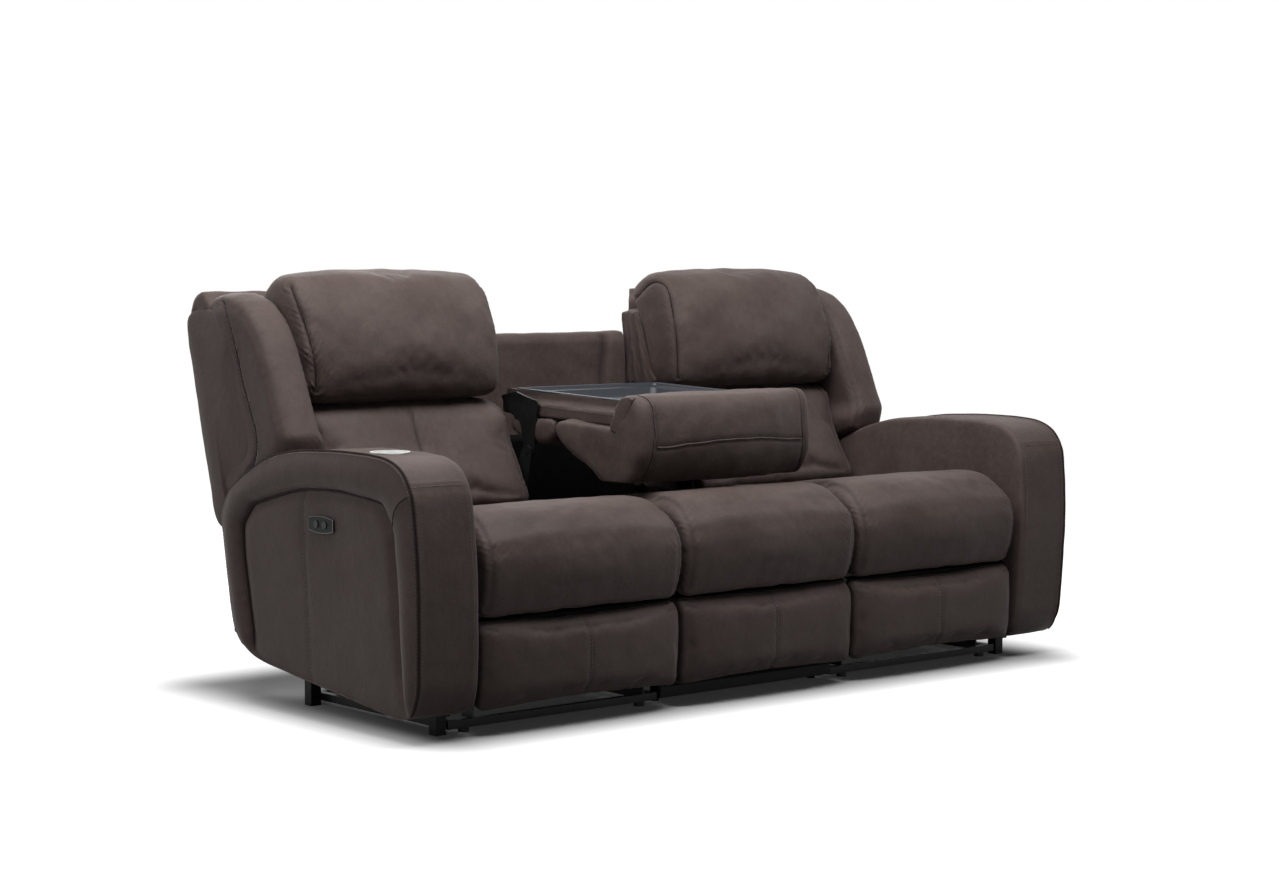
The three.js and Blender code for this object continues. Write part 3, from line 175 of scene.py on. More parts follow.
def scaled(shade, share):
    """A colour made darker or lighter."""
    return tuple(share * part for part in shade)


def leather(name, shadow, light, sheen=0.06, shine=0.16):
    """Matte espresso leather: clouded colour, fine pebble grain, soft wear, and painted shade in creases
    and seams.
    """
    finish = Finish(bpy.data.materials.new(name))
    nap = finish.stretched(1.0, 1.0, 0.85)
    clouds = finish.noise(0.16, 3.0, 0.55, nap)
    flecks = finish.noise(0.018, 4.0, 0.62, nap)
    pebbles = finish.cells(0.0016)
    creases = finish.noise(0.0045, 5.0, 0.7)
    tone = (clouds * 0.62 + flecks * 0.38).ramp(0.30, 0.72)
    worn = finish.attribute("wear")
    cover = finish.blend(tone, shadow, light)
    cover = finish.blend(worn * (flecks * 0.7 + 0.2), cover, scaled(light, 1.35))
    # Painted shade: darker where the crease attribute marks sunk seams and the hollows of gathers.
    cover = finish.blend(finish.attribute("crease_shade") * 0.75, cover, scaled(shadow, 0.55))
    rough = 0.60 + (flecks - 0.5) * 0.16 - worn * 0.06
    grain = finish.bump(pebbles * 0.6 + creases * 0.4, 0.00042)
    grain = finish.bump(flecks, 0.0011, grain)
    return finish.shade(Base_Color=cover, Roughness=rough, Normal=grain, Sheen_Weight=sheen,
                        Sheen_Roughness=0.5, Specular_IOR_Level=shine)


def thread_finish(name, shade):
    """Twisted sewing thread, a little lighter than the cover."""
    finish = Finish(bpy.data.materials.new(name))
    strands = finish.noise(0.0009, 2.0, 0.5)
    tint = finish.blend(strands, scaled(shade, 0.7), shade)
    twist = finish.bump(strands, 0.0002)
    return finish.shade(Base_Color=tint, Roughness=0.62 + strands * 0.15, Normal=twist)


def moulded(name, shade, rough, texture=0.0006, shine=0.5):
    """Moulded plastic with a fine satin texture."""
    finish = Finish(bpy.data.materials.new(name))
    clouds = finish.noise(0.06, 3.0)
    speckle = finish.cells(texture)
    scuffs = finish.noise(0.012, 5.0, 0.7)
    tint = finish.blend(clouds * 0.6 + speckle * 0.2, scaled(shade, 0.82), shade)
    skin = finish.bump(speckle, 0.00008)
    return finish.shade(Base_Color=tint, Roughness=rough + (scuffs - 0.5) * 0.14, Normal=skin,
                        Specular_IOR_Level=shine)


def powder_coat(name, shade):
    """Black powder-coated steel with fine orange peel and lighter dusty patches."""
    finish = Finish(bpy.data.materials.new(name))
    peel = finish.noise(0.0014, 3.0)
    dust = finish.noise(0.05, 4.0, 0.65)
    tint = finish.blend(dust.ramp(0.45, 0.75), shade, scaled(shade, 1.9))
    coat = finish.bump(peel, 0.00018)
    return finish.shade(Base_Color=tint, Roughness=0.42 + (dust - 0.5) * 0.2, Normal=coat,
                        Metallic=0.0, Specular_IOR_Level=0.22)


def bright_metal(name, shade, rough, way):
    """Brushed metal, with its brush marks along one axis."""
    finish = Finish(bpy.data.materials.new(name))
    marks = finish.noise(0.0011, 3.0, 0.6, finish.stretched(*way))
    smudges = finish.noise(0.03, 4.0, 0.6)
    tint = finish.blend(smudges, scaled(shade, 0.86), shade)
    brushed = finish.bump(marks, 0.00005)
    return finish.shade(Base_Color=tint, Metallic=1.0, Roughness=rough + (marks - 0.5) * 0.16,
                        Normal=brushed)


def frame_board(name, shade):
    """Plain pine and plywood of the hidden frame."""
    finish = Finish(bpy.data.materials.new(name))
    rings = finish.noise(0.012, 4.0, 0.6, finish.stretched(1.0, 0.12, 1.0))
    pores = finish.noise(0.0016, 2.0, 0.5, finish.stretched(1.0, 0.08, 1.0))
    tint = finish.blend(rings.ramp(0.35, 0.65) * 0.8 + pores * 0.2, scaled(shade, 0.62), shade)
    grain = finish.bump(pores, 0.0002)
    return finish.shade(Base_Color=tint, Roughness=0.66 + (rings - 0.5) * 0.12, Normal=grain)


# Finishes
COVER = leather("espresso_cover", (0.062, 0.0425, 0.0378), (0.096, 0.0715, 0.065))
THREAD = thread_finish("cover_thread", (0.135, 0.110, 0.102))
# Near-black sheets that stand for the shade under the seats' rolls and behind the console: painted
# shade.
SHADE_BLACK = leather("painted_shade_black", (0.0030, 0.0026, 0.0026), (0.0050, 0.0045, 0.0045), 0.0, 0.03)
# Near-black leather for cords laid in seams and under the arm's arch: painted shade along them.
SEAM_SHADOW = leather("fold_shadow", (0.020, 0.014, 0.013), (0.030, 0.022, 0.020), 0.0, 0.06)
TRAY = moulded("tray_slate", (0.017, 0.021, 0.028), 0.40, 0.0006, 0.30)
SWITCH = moulded("switch_black", (0.007, 0.008, 0.008), 0.50, 0.0004, 0.12)
KEYS = moulded("key_black", (0.012, 0.013, 0.013), 0.40, 0.0004, 0.22)
STEEL = powder_coat("black_mechanism", (0.008, 0.009, 0.009))
STAINLESS = bright_metal("cup_holder_steel", (0.94, 0.94, 0.93), 0.42, (0.1, 0.1, 1.0))
ZINC = bright_metal("zinc_links", (0.42, 0.42, 0.43), 0.36, (1.0, 0.15, 0.15))
BEZEL = bright_metal("bezel_satin", (0.10, 0.10, 0.10), 0.34, (1.0, 0.2, 0.2))
WIRE = bright_metal("spring_steel", (0.20, 0.20, 0.21), 0.34, (1.0, 0.1, 1.0))
BOARD = frame_board("frame_board", (0.46, 0.33, 0.20))


# Mesh helpers
# Painted shade of sunk seams and gather hollows, per piece, for the leather to darken there.
CREASE_SHADE = {}


def points_of(piece):
    flat = np.empty(3 * len(piece.data.vertices))
    piece.data.vertices.foreach_get("co", flat)
    return flat.reshape(-1, 3)


def normals_of(piece):
    flat = np.empty(3 * len(piece.data.vertices), np.float32)
    piece.data.vertices.foreach_get("normal", flat)
    return flat.reshape(-1, 3).astype(float)


def edges_of(piece):
    flat = np.empty(2 * len(piece.data.edges), np.int64)
    piece.data.edges.foreach_get("vertices", flat)
    return flat.reshape(-1, 2)


def move_points(piece, points):
    piece.data.vertices.foreach_set("co", np.ascontiguousarray(points, float).ravel())
    piece.data.update()


def new_piece(name, points, faces, finish=COVER):
    """A mesh object of its own, smooth shaded."""
    mesh = bpy.data.meshes.new(name)
    mesh.from_pydata([tuple(map(float, point)) for point in points], [], faces)
    mesh.validate()
    mesh.shade_smooth()
    mesh.materials.append(finish)
    piece = bpy.data.objects.new(name, mesh)
    bpy.context.collection.objects.link(piece)
    return piece


def with_modifiers(piece):
    """Turns what the modifiers make into the piece's own mesh."""
    graph = bpy.context.evaluated_depsgraph_get()
    mesh = bpy.data.meshes.new_from_object(piece.evaluated_get(graph))
    piece.modifiers.clear()
    old = piece.data
    piece.data = mesh
    bpy.data.meshes.remove(old)
    mesh.shade_smooth()
    return piece


def discard(piece):
    mesh = piece.data
    bpy.data.objects.remove(piece)
    bpy.data.meshes.remove(mesh)


def relaxed(points, edges, rounds, strength=0.5, hold=None):
    """Evens out a surface, each point towards the mean of its neighbours."""
    count = len(points)
    degree = np.bincount(edges.ravel(), minlength=count)[:, None]
    pull = strength if hold is None else strength * (1 - hold[:, None])
    for _ in range(rounds):
        total = np.empty_like(points)
        for axis in range(3):
            total[:, axis] = np.bincount(edges[:, 0], points[edges[:, 1], axis], count)
            total[:, axis] += np.bincount(edges[:, 1], points[edges[:, 0], axis], count)
        points = points + (total / degree - points) * pull
    return points


def wavy(points, size, seed):
    """Smooth noise from -1 to 1 over points, with waves about size metres long."""
    drawn = np.random.default_rng(seed)
    total = np.zeros(len(points))
    for _ in range(7):
        way = drawn.normal(size=3)
        way *= drawn.uniform(0.7, 1.4) * 2 * math.pi / (size * np.linalg.norm(way))
        total += np.sin(points @ way + drawn.uniform(0, 2 * math.pi))
    return total / 3.5


def smoothstep(value, low, high):
    part = np.clip((value - low) / (high - low), 0, 1)
    return part * part * (3 - 2 * part)


def dress_points(piece, crease_shade=None, wear=None):
    """Stores where the cover gets painted crease shade and where it is worn, for its material."""
    count = len(piece.data.vertices)
    for name, values in (("crease_shade", crease_shade), ("wear", wear)):
        old = piece.data.attributes.get(name)
        if old:
            piece.data.attributes.remove(old)
        made = piece.data.attributes.new(name, "FLOAT", "POINT")
        made.data.foreach_set("value", np.zeros(count) if values is None else np.clip(values, 0, 1))


def edge_wear(piece, sharp=0.0045):
    """How much the surface stands out at a point, which is where leather wears."""
    points = points_of(piece)
    level = relaxed(points, edges_of(piece), 4)
    out = ((points - level) * normals_of(piece)).sum(1)
    return smoothstep(out, 0.10 * sharp, sharp)


# Padding
def stuffed(piece, stretch):
    """Swells a closed shape as a cloth bag under pressure, and caps how far a point may move."""
    start, normals = points_of(piece), normals_of(piece)
    scene = bpy.context.scene
    cloth = piece.modifiers.new("Stuffing", "CLOTH")
    cloth.settings.quality = 4
    cloth.settings.mass = 0.35
    cloth.settings.use_pressure = True
    cloth.settings.uniform_pressure_force = PRESSURE
    cloth.settings.tension_stiffness = 22
    cloth.settings.compression_stiffness = 22
    cloth.settings.shear_stiffness = 12
    cloth.settings.bending_stiffness = 0.8
    cloth.settings.effector_weights.gravity = 0
    cloth.collision_settings.use_collision = False
    cloth.collision_settings.use_self_collision = False
    cloth.point_cache.frame_end = STUFFING_STEPS
    for step in range(1, STUFFING_STEPS + 1):
        scene.frame_set(step)
    graph = bpy.context.evaluated_depsgraph_get()
    swollen = piece.evaluated_get(graph).to_mesh()
    flat = np.empty(3 * len(swollen.vertices))
    swollen.vertices.foreach_get("co", flat)
    moved = flat.reshape(-1, 3) - start
    piece.evaluated_get(graph).to_mesh_clear()
    piece.modifiers.clear()
    scene.frame_set(1)
    moved -= moved.mean(0)
    outward = (moved * normals).sum(1, keepdims=True)
    kept = np.where(outward > 0, outward, CORNER_PULL * outward)
    moved = 0.5 * (moved - outward * normals) + kept * normals
    length = np.linalg.norm(moved, axis=1, keepdims=True)
    cap = stretch * np.tanh(length / stretch)
    move_points(piece, start + moved * cap / np.maximum(length, 1e-9))
    return piece


def pad_over(node, name, cell, fillers=()):
    """A closed quad mesh over a soft CAD solid and any fillers, with its corners eased."""
    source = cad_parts[node]
    piece = bpy.data.objects.new(name, source.data.copy())
    bpy.context.collection.objects.link(piece)
    bm = bmesh.new()
    bm.from_mesh(piece.data)
    for points, faces in fillers:
        corners = [bm.verts.new(point) for point in points]
        for face in faces:
            bm.faces.new([corners[corner] for corner in face])
    bmesh.ops.recalc_face_normals(bm, faces=bm.faces)
    bm.to_mesh(piece.data)
    bm.free()
    piece.data.materials.clear()
    piece.data.materials.append(COVER)
    remesh = piece.modifiers.new("Even", "REMESH")
    remesh.mode = "VOXEL"
    remesh.voxel_size = cell
    with_modifiers(piece)
    move_points(piece, relaxed(points_of(piece), edges_of(piece), 2))
    return piece


def finer(piece):
    """Subdivides a piece once, which rounds it a little."""
    subdivide = piece.modifiers.new("Finer", "SUBSURF")
    subdivide.levels = 1
    subdivide.render_levels = 1
    return with_modifiers(piece)


def eased_under(over, soft):
    """Heights over a limit brought down to it, with a soft bend just below."""
    eased = np.where(over > -soft, -soft + soft * np.tanh((over + soft) / soft), over)
    return np.minimum(over, eased)


def pressed_flat(piece, axis, place, side, soft=0.004):
    """Flattens a piece where it rests on a plane: nothing passes place on that side."""
    points = points_of(piece)
    points[:, axis] = place + side * eased_under(side * (points[:, axis] - place), soft)
    move_points(piece, points)


def pressed_to_top(piece, node, above=0.002, soft=0.02):
    """Keeps a swollen cushion's top down to the line of its solid in the side view."""
    points = points_of(piece)
    low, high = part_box(node)
    upper = outline_of(node)
    upper = upper[upper[:, 1] > 0.5 * (low[Z] + high[Z])]
    order = np.argsort(upper[:, 0])
    top = np.interp(points[:, Y], upper[order, 0], upper[order, 1]) + above
    over = points[:, Z] - top
    behind = smoothstep(points[:, Y], low[Y] + 0.03, low[Y] + 0.09)
    points[:, Z] += behind * (eased_under(over, soft) - over)
    move_points(piece, points)


def squared(piece, side, reach, power=1.6):
    """Fills a pad's rounded end out towards its end face."""
    points = points_of(piece)
    outward = side * points[:, X]
    inside = outward.max() - outward
    filled = reach * (np.clip(inside, 0, reach) / reach) ** power
    points[:, X] = side * np.where(inside < reach, outward.max() - filled, outward)
    move_points(piece, points)


def mirrored(piece, name):
    """The same piece for the other side of the sofa."""
    other = bpy.data.objects.new(name, piece.data.copy())
    bpy.context.collection.objects.link(other)
    points = points_of(other) * (-1, 1, 1)
    move_points(other, points)
    other.data.flip_normals()
    if piece.name in CREASE_SHADE:
        CREASE_SHADE[name] = CREASE_SHADE[piece.name]
    return other


def fit_out(piece, body, nodes=()):
    """Says which body a piece rides on and which solids it stands for."""
    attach(piece, body)
    if nodes:
        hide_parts(*nodes)


def body_on(side, body):
    """The name of one side's body; the base carries both sides."""
    return body if body == "base" else side + "_" + body


def fit_out_pair(left, body, node=None):
    """Fits out a piece of the left side and its mirror image on the right."""
    right = mirrored(left, left.name.replace("left_", "right_"))
    for side, piece in (("left", left), ("right", right)):
        nodes = [side + "_" + node] if node else ()
        fit_out(finished(piece), body_on(side, body), nodes)


# Outlines and paths
def evenly(path, count, closed=False):
    """Points evenly spaced along a path."""
    path = np.asarray(path, float)
    if closed:
        path = np.vstack([path, path[:1]])
    lengths = np.linalg.norm(np.diff(path, axis=0), axis=1)
    along = np.concatenate([[0], np.cumsum(lengths)])
    places = np.linspace(0, along[-1], count, endpoint=not closed)
    return np.column_stack([np.interp(places, along, column) for column in path.T])


def through(corners, closed=False, steps=16):
    """A smooth curve through its corners."""
    corners = np.asarray(corners, float)
    if closed:
        before, after, last = np.roll(corners, 1, 0), np.roll(corners, -1, 0), np.roll(corners, -2, 0)
    else:
        padded = np.vstack([2 * corners[0] - corners[1], corners, 2 * corners[-1] - corners[-2]])
        before, corners, after, last = padded[:-3], padded[1:-2], padded[2:-1], padded[3:]
    share = np.linspace(0, 1, steps, endpoint=False)[:, None]
    parts = []
    for a, b, c, d in zip(before, corners, after, last):
        bend = (2 * a - 5 * b + 4 * c - d) * share ** 2 + (3 * b - a - 3 * c + d) * share ** 3
        parts.append(0.5 * (2 * b + (c - a) * share + bend))
    if not closed:
        parts.append(after[-1:])
    return np.vstack(parts)


def hull(flat_points):
    """The convex outline of points in a plane, anticlockwise."""
    ordered = sorted(set(map(tuple, np.round(flat_points, 5))))

    def chain(sequence):
        kept = []
        for point in sequence:
            while len(kept) > 1 and turns_right(kept[-2], kept[-1], point):
                kept.pop()
            kept.append(point)
        return kept[:-1]

    return np.array(chain(ordered) + chain(ordered[::-1]))


def turns_right(a, b, c):
    return (b[0] - a[0]) * (c[1] - a[1]) - (b[1] - a[1]) * (c[0] - a[0]) <= 0


def node_points(node):
    return points_of(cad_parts[node])


def outline_of(node):
    """A node's convex outline in the side view, evenly spaced."""
    return evenly(hull(node_points(node)[:, 1:]), 240, True)


def rounded_outline(node, corners, count):
    """A node's outline in the side view, drawn smoothly through a few corners."""
    corners = evenly(hull(node_points(node)[:, 1:]), corners, True)
    return evenly(through(corners, True), count, True)


# Faces
def grid_faces(rows, columns):
    """Quads over a grid of points, row by row."""
    corners = [row * columns + column for row in range(rows - 1) for column in range(columns - 1)]
    return [(a, a + 1, a + columns + 1, a + columns) for a in corners]


def turned_over(faces):
    return [face[:1] + face[:0:-1] for face in faces]


def ring_faces(rings, count, way=1, closed=False):
    """The faces of a form made of rings of count points, capped unless its rings close up."""
    faces = []
    for row in range(rings if closed else rings - 1):
        here, ahead = row * count, (row + 1) % rings * count
        for column in range(count):
            beside = (column + 1) % count
            faces.append((here + column, here + beside, ahead + beside, ahead + column))
    if way < 0:
        faces = turned_over(faces)
    if not closed:
        faces.append(tuple(range(count))[::-way])
        faces.append(tuple(range((rings - 1) * count, rings * count))[::way])
    return faces


# Seams, stitches and piping
def nearest_on(points, path):
    """How far points lie from a path, and the length along it of the nearest place."""
    lengths = np.linalg.norm(np.diff(path, axis=0), axis=1)
    along = np.concatenate([[0], np.cumsum(lengths)])
    gaps = np.empty(len(points))
    where = np.empty(len(points), int)
    for first in range(0, len(points), 4000):
        part = points[first:first + 4000]
        apart = ((part[:, None] - path[None]) ** 2).sum(2)
        where[first:first + 4000] = apart.argmin(1)
        gaps[first:first + 4000] = np.sqrt(apart.min(1))
    return gaps, along[where]


def laid_on(piece, rough, step=0.003):
    """A rough path laid on a piece's surface, with the surface's normals there."""
    rough = through(rough)
    length = np.linalg.norm(np.diff(rough, axis=0), axis=1).sum()
    path = evenly(rough, max(4, int(length / step)))
    tree = BVHTree.FromObject(piece, bpy.context.evaluated_depsgraph_get())
    for rounds in (24, 5):
        hits = [tree.find_nearest(Vector(point)) for point in path]
        path = np.array([hit[0] for hit in hits])
        normals = np.array([hit[1] for hit in hits])
        for _ in range(rounds):
            path[1:-1] = 0.5 * path[1:-1] + 0.25 * (path[:-2] + path[2:])
            normals[1:-1] = 0.5 * normals[1:-1] + 0.25 * (normals[:-2] + normals[2:])
    return path, normals / np.linalg.norm(normals, axis=1, keepdims=True)


def pull_in(piece, rough, width, depth, gather=0.0, pitch=0.016, reach=0.03):
    """Sinks the cover along a seam; gathers are small folds that fade away from it. Records painted
    shade along the seam and in the gathers' hollows.
    """
    path, _ = laid_on(piece, rough, 0.004)
    points, normals = points_of(piece), normals_of(piece)
    span = max(reach, 2.5 * width)
    inside = ((points > path.min(0) - span) & (points < path.max(0) + span)).all(1)
    near = np.flatnonzero(inside)
    gaps, along = nearest_on(points[near], path)
    dip = np.exp(-((gaps / width) ** 2))
    turn = 2 * math.pi * along / pitch + 1.1 * wavy(points[near], 0.09, 5) + 14 * gaps / reach
    strength = 0.55 + 0.45 * wavy(points[near], 0.05, 8)
    folds = gather * strength * np.sin(turn) * np.exp(-((gaps / reach) ** 2)) * (1 - 0.6 * dip)
    points[near] += normals[near] * (folds - depth * dip)[:, None]
    move_points(piece, points)
    # Painted shade: the seam's dip and the gathers' hollows are marked for the leather to darken.
    creases = CREASE_SHADE.setdefault(piece.name, np.zeros(len(points)))
    fold_shade = 0.35 * np.clip(-folds / max(gather, 1e-6), 0, 1) if gather else 0
    creases[near] = np.maximum(creases[near], np.maximum(dip * min(1, depth / 0.004), fold_shade))


def shifted(path, normals, distance):
    """A path moved sideways along the surface."""
    ahead = np.gradient(path, axis=0)
    across = np.cross(normals, ahead)
    across /= np.maximum(np.linalg.norm(across, axis=1, keepdims=True), 1e-9)
    return path + across * distance


def sunk(piece, rough, depth):
    """A smooth path laid on a piece before its seams are pulled in, and sunk by a depth."""
    path, normals = laid_on(piece, rough)
    return path - normals * depth


def widened(piece, start, end, shift, low=None, high=None):
    """Moves one end of a piece sideways; it grows from nothing at start, and between two heights."""
    points = points_of(piece)
    share = smoothstep(points[:, X], start, end)
    if low is not None:
        share *= smoothstep(points[:, Z], low, high)
    points[:, X] += shift * share
    move_points(piece, points)


class Sewing:
    """The thread and piping of one body, gathered in one piece."""

    def __init__(self):
        self.points = []
        self.faces = []

    def add(self, points, faces):
        first = len(self.points)
        self.points += list(points)
        self.faces += [tuple(first + corner for corner in face) for face in faces]

    def stitch(self, piece, rough, sideways=0.0):
        """A row of stitches along a rough path on a piece."""
        path, normals = laid_on(piece, rough)
        if sideways:
            path, normals = laid_on(piece, shifted(path, normals, sideways)[::3])
        lengths = np.linalg.norm(np.diff(path, axis=0), axis=1)
        along = np.concatenate([[0], np.cumsum(lengths)])
        ahead = np.gradient(path, axis=0)
        for place in np.arange(STITCH_PITCH / 2, along[-1], STITCH_PITCH):
            middle = np.array([np.interp(place, along, column) for column in path.T])
            up = np.array([np.interp(place, along, column) for column in normals.T])
            way = np.array([np.interp(place, along, column) for column in ahead.T])
            way /= np.linalg.norm(way)
            up -= way * (up @ way)
            up /= np.linalg.norm(up)
            self.spindle(middle + up * 0.0002, way, up)

    def twin_stitch(self, piece, rough):
        """Two rows of stitches, one on each side of a seam."""
        for sideways in (-TWIN_STITCH_GAP / 2, TWIN_STITCH_GAP / 2):
            self.stitch(piece, rough, sideways)

    def spindle(self, middle, way, up):
        """One stitch: a thread that comes up, runs along and goes down."""
        across = np.cross(way, up)
        points = []
        for share, thick in ((-0.5, 0.35), (-0.3, 1.0), (0.0, 1.1), (0.3, 1.0), (0.5, 0.35)):
            centre = middle + way * share * STITCH_LENGTH - up * 0.0009 * (2 * share) ** 4
            for corner in range(6):
                turn = math.pi * corner / 3
                spoke = across * math.cos(turn) + up * math.sin(turn)
                points.append(centre + spoke * THREAD_RADIUS * thick)
        self.add(points, ring_faces(5, 6))

    def pipe(self, path, radius, sides=10, closed=False):
        """A round cord in leather along a path."""
        points, faces = tube(path, radius, sides, closed)
        self.add(points, faces)

    def make(self, name, body, finish=THREAD):
        piece = new_piece(name, self.points, self.faces, finish)
        fit_out(piece, body)
        return piece

    def make_pair(self, part, body, finish=THREAD):
        """The same thread or piping for both sides of the sofa."""
        left = self.make("left_" + part, body_on("left", body), finish)
        fit_out(mirrored(left, "right_" + part), body_on("right", body))


def tube(path, radius, sides, closed=False):
    """A tube round a path, capped at its ends unless it is closed."""
    path = np.asarray(path, float)
    ahead = np.gradient(path, axis=0)
    if closed:
        ahead = np.roll(path, -1, 0) - np.roll(path, 1, 0)
    ahead /= np.linalg.norm(ahead, axis=1, keepdims=True)
    side = np.cross(ahead[0], (0.31, 0.17, 0.93))
    points = []
    for place, way in zip(path, ahead):
        side = side - way * (side @ way)
        side /= np.linalg.norm(side)
        up = np.cross(way, side)
        for corner in range(sides):
            turn = 2 * math.pi * corner / sides
            points.append(place + radius * (side * math.cos(turn) + up * math.sin(turn)))
    return points, ring_faces(len(path), sides, closed=closed)


def finished(piece):
    """Stores the painted crease shade and the wear of a piece for its material."""
    dress_points(piece, CREASE_SHADE.get(piece.name), edge_wear(piece))
    return piece


def soften(piece, height, seed):
    """Slow unevenness of padding under a cover."""
    points, normals = points_of(piece), normals_of(piece)
    swell = 0.6 * wavy(points, 0.16, seed) + 0.4 * wavy(points, 0.07, seed + 1)
    move_points(piece, points + normals * (height * swell)[:, None])


# Arms
ARM_LOW, ARM_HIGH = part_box("left_arm_cover")
ARM_TOP = ARM_HIGH[Z]
ARM_OUTER = ARM_LOW[X]
ARM_WIDTH = 0.175
ARM_LEAN = 0.018
ARM_POINTS = 280
PANEL_RECESS = 0.008
PANEL_CELL = 0.009
PANEL_TUCK = 0.006
BAND_CROWN = 0.006
BAND_DEPTH = 0.018
BAND_CREST = 0.44
BAND_OUTER_EDGE = 0.005
BAND_SHARES = (0.0, 0.03, 0.09, 0.18, 0.30, 0.44, 0.58, 0.71, 0.82, 0.91, 0.965)
INNER_FACE_SHARES = (0.012, 0.05, 0.11, 0.2, 0.32, 0.46, 0.6, 0.74, 0.87)
OUTER_ROUND = 0.0115
INNER_ROUND = 0.012
TOP_CROWN = 0.0016
WELT_INSET = 0.0085
BROW_DROP = 0.043
INNER_SEAM_INSET = 0.020
PANEL_SEAM_BACK = 0.44
CUP_RIM_LAP = 0.0035


def arm_x(inward, z):
    """A place across the left arm, measured inward from its outer face; the arm leans."""
    return ARM_OUTER + inward + ARM_LEAN * (1 - z / ARM_TOP)


def polar_outline(flat, middle, angles):
    """How far a closed outline lies from its middle at given angles."""
    away = flat - middle
    turn = np.arctan2(away[:, 1], away[:, 0])
    order = np.argsort(turn)
    return np.interp(angles, turn[order], np.linalg.norm(away, axis=1)[order], period=2 * math.pi)


def arm_outlines():
    """The left arm's outline in its side view, that of its recessed panel, and their middle."""
    points = node_points("left_arm_cover")
    rim = rounded_outline("left_arm_cover", 44, ARM_POINTS)
    middle = rim.mean(0)
    from_face = points[:, X] - arm_x(0, points[:, Z])
    on_panel = (from_face > PANEL_RECESS - 0.0012) & (from_face < PANEL_RECESS + 0.0006)
    recess = evenly(hull(points[on_panel][:, 1:]), 400, True)
    away = rim - middle
    angles = np.arctan2(away[:, 1], away[:, 0])
    reach = np.linalg.norm(away, axis=1)
    inner = np.minimum(polar_outline(recess, middle, angles), reach - 0.004)
    for _ in range(3):
        inner = (np.roll(inner, 1) + 2 * inner + np.roll(inner, -1)) / 4
    return rim, middle + away * (inner / reach)[:, None], middle


def make_arm_body():
    """The arm's padded cover: arched band, front, top and inner face."""
    rim, recess, middle = arm_outlines()
    band = rim - recess
    gap = np.linalg.norm(band, axis=1)
    full = smoothstep(gap, 0.008, 0.055)
    inward_way = (middle - rim) / np.linalg.norm(middle - rim, axis=1, keepdims=True)
    rings = []

    def ring(flat, inward):
        rings.append(np.column_stack([arm_x(np.broadcast_to(inward, ARM_POINTS), flat[:, 1]), flat]))

    for share, inward in ((0.55, 0.030), (0.97, 0.028), (1.0, 0.020)):
        ring(middle + (recess - middle) * share, inward)
    low = PANEL_RECESS + BAND_DEPTH * full
    crest = PANEL_RECESS * (1 - full) - BAND_CROWN * full
    for share in BAND_SHARES:
        rise = math.sqrt(1 - (1 - min(share / BAND_CREST, 1)) ** 2)
        fall = max(0.0, (share - BAND_CREST) / (1 - BAND_CREST)) ** 2.2
        inward = low + (crest - low) * rise + (BAND_OUTER_EDGE - crest) * fall
        lean_in = 0.004 * math.sin(math.pi * min(share / 0.3, 1)) * full
        ring(recess + band * share - band * (lean_in / gap)[:, None], inward)
    ring(rim + inward_way * 0.0015, 0.0075)
    ring(rim, OUTER_ROUND)
    across = ARM_WIDTH - OUTER_ROUND - INNER_ROUND
    for share in np.linspace(0, 1, 17)[1:-1]:
        crown = TOP_CROWN * (1 - (2 * share - 1) ** 4)
        ring(rim - inward_way * crown, OUTER_ROUND + share * across)
    ring(rim, ARM_WIDTH - INNER_ROUND)
    ring(rim + inward_way * 0.0012, ARM_WIDTH - 0.0075)
    ring(rim + inward_way * 0.004, ARM_WIDTH - 0.0035)
    for share in INNER_FACE_SHARES:
        bulge = 0.003 * math.sin(math.pi * share)
        ring(rim + (middle - rim) * (share + 0.02), ARM_WIDTH - 0.002 + bulge)
    body = new_piece("left_arm_cushion", np.vstack(rings), ring_faces(len(rings), ARM_POINTS, -1))
    soften(body, 0.0012, seed=3)
    return body, rim, recess


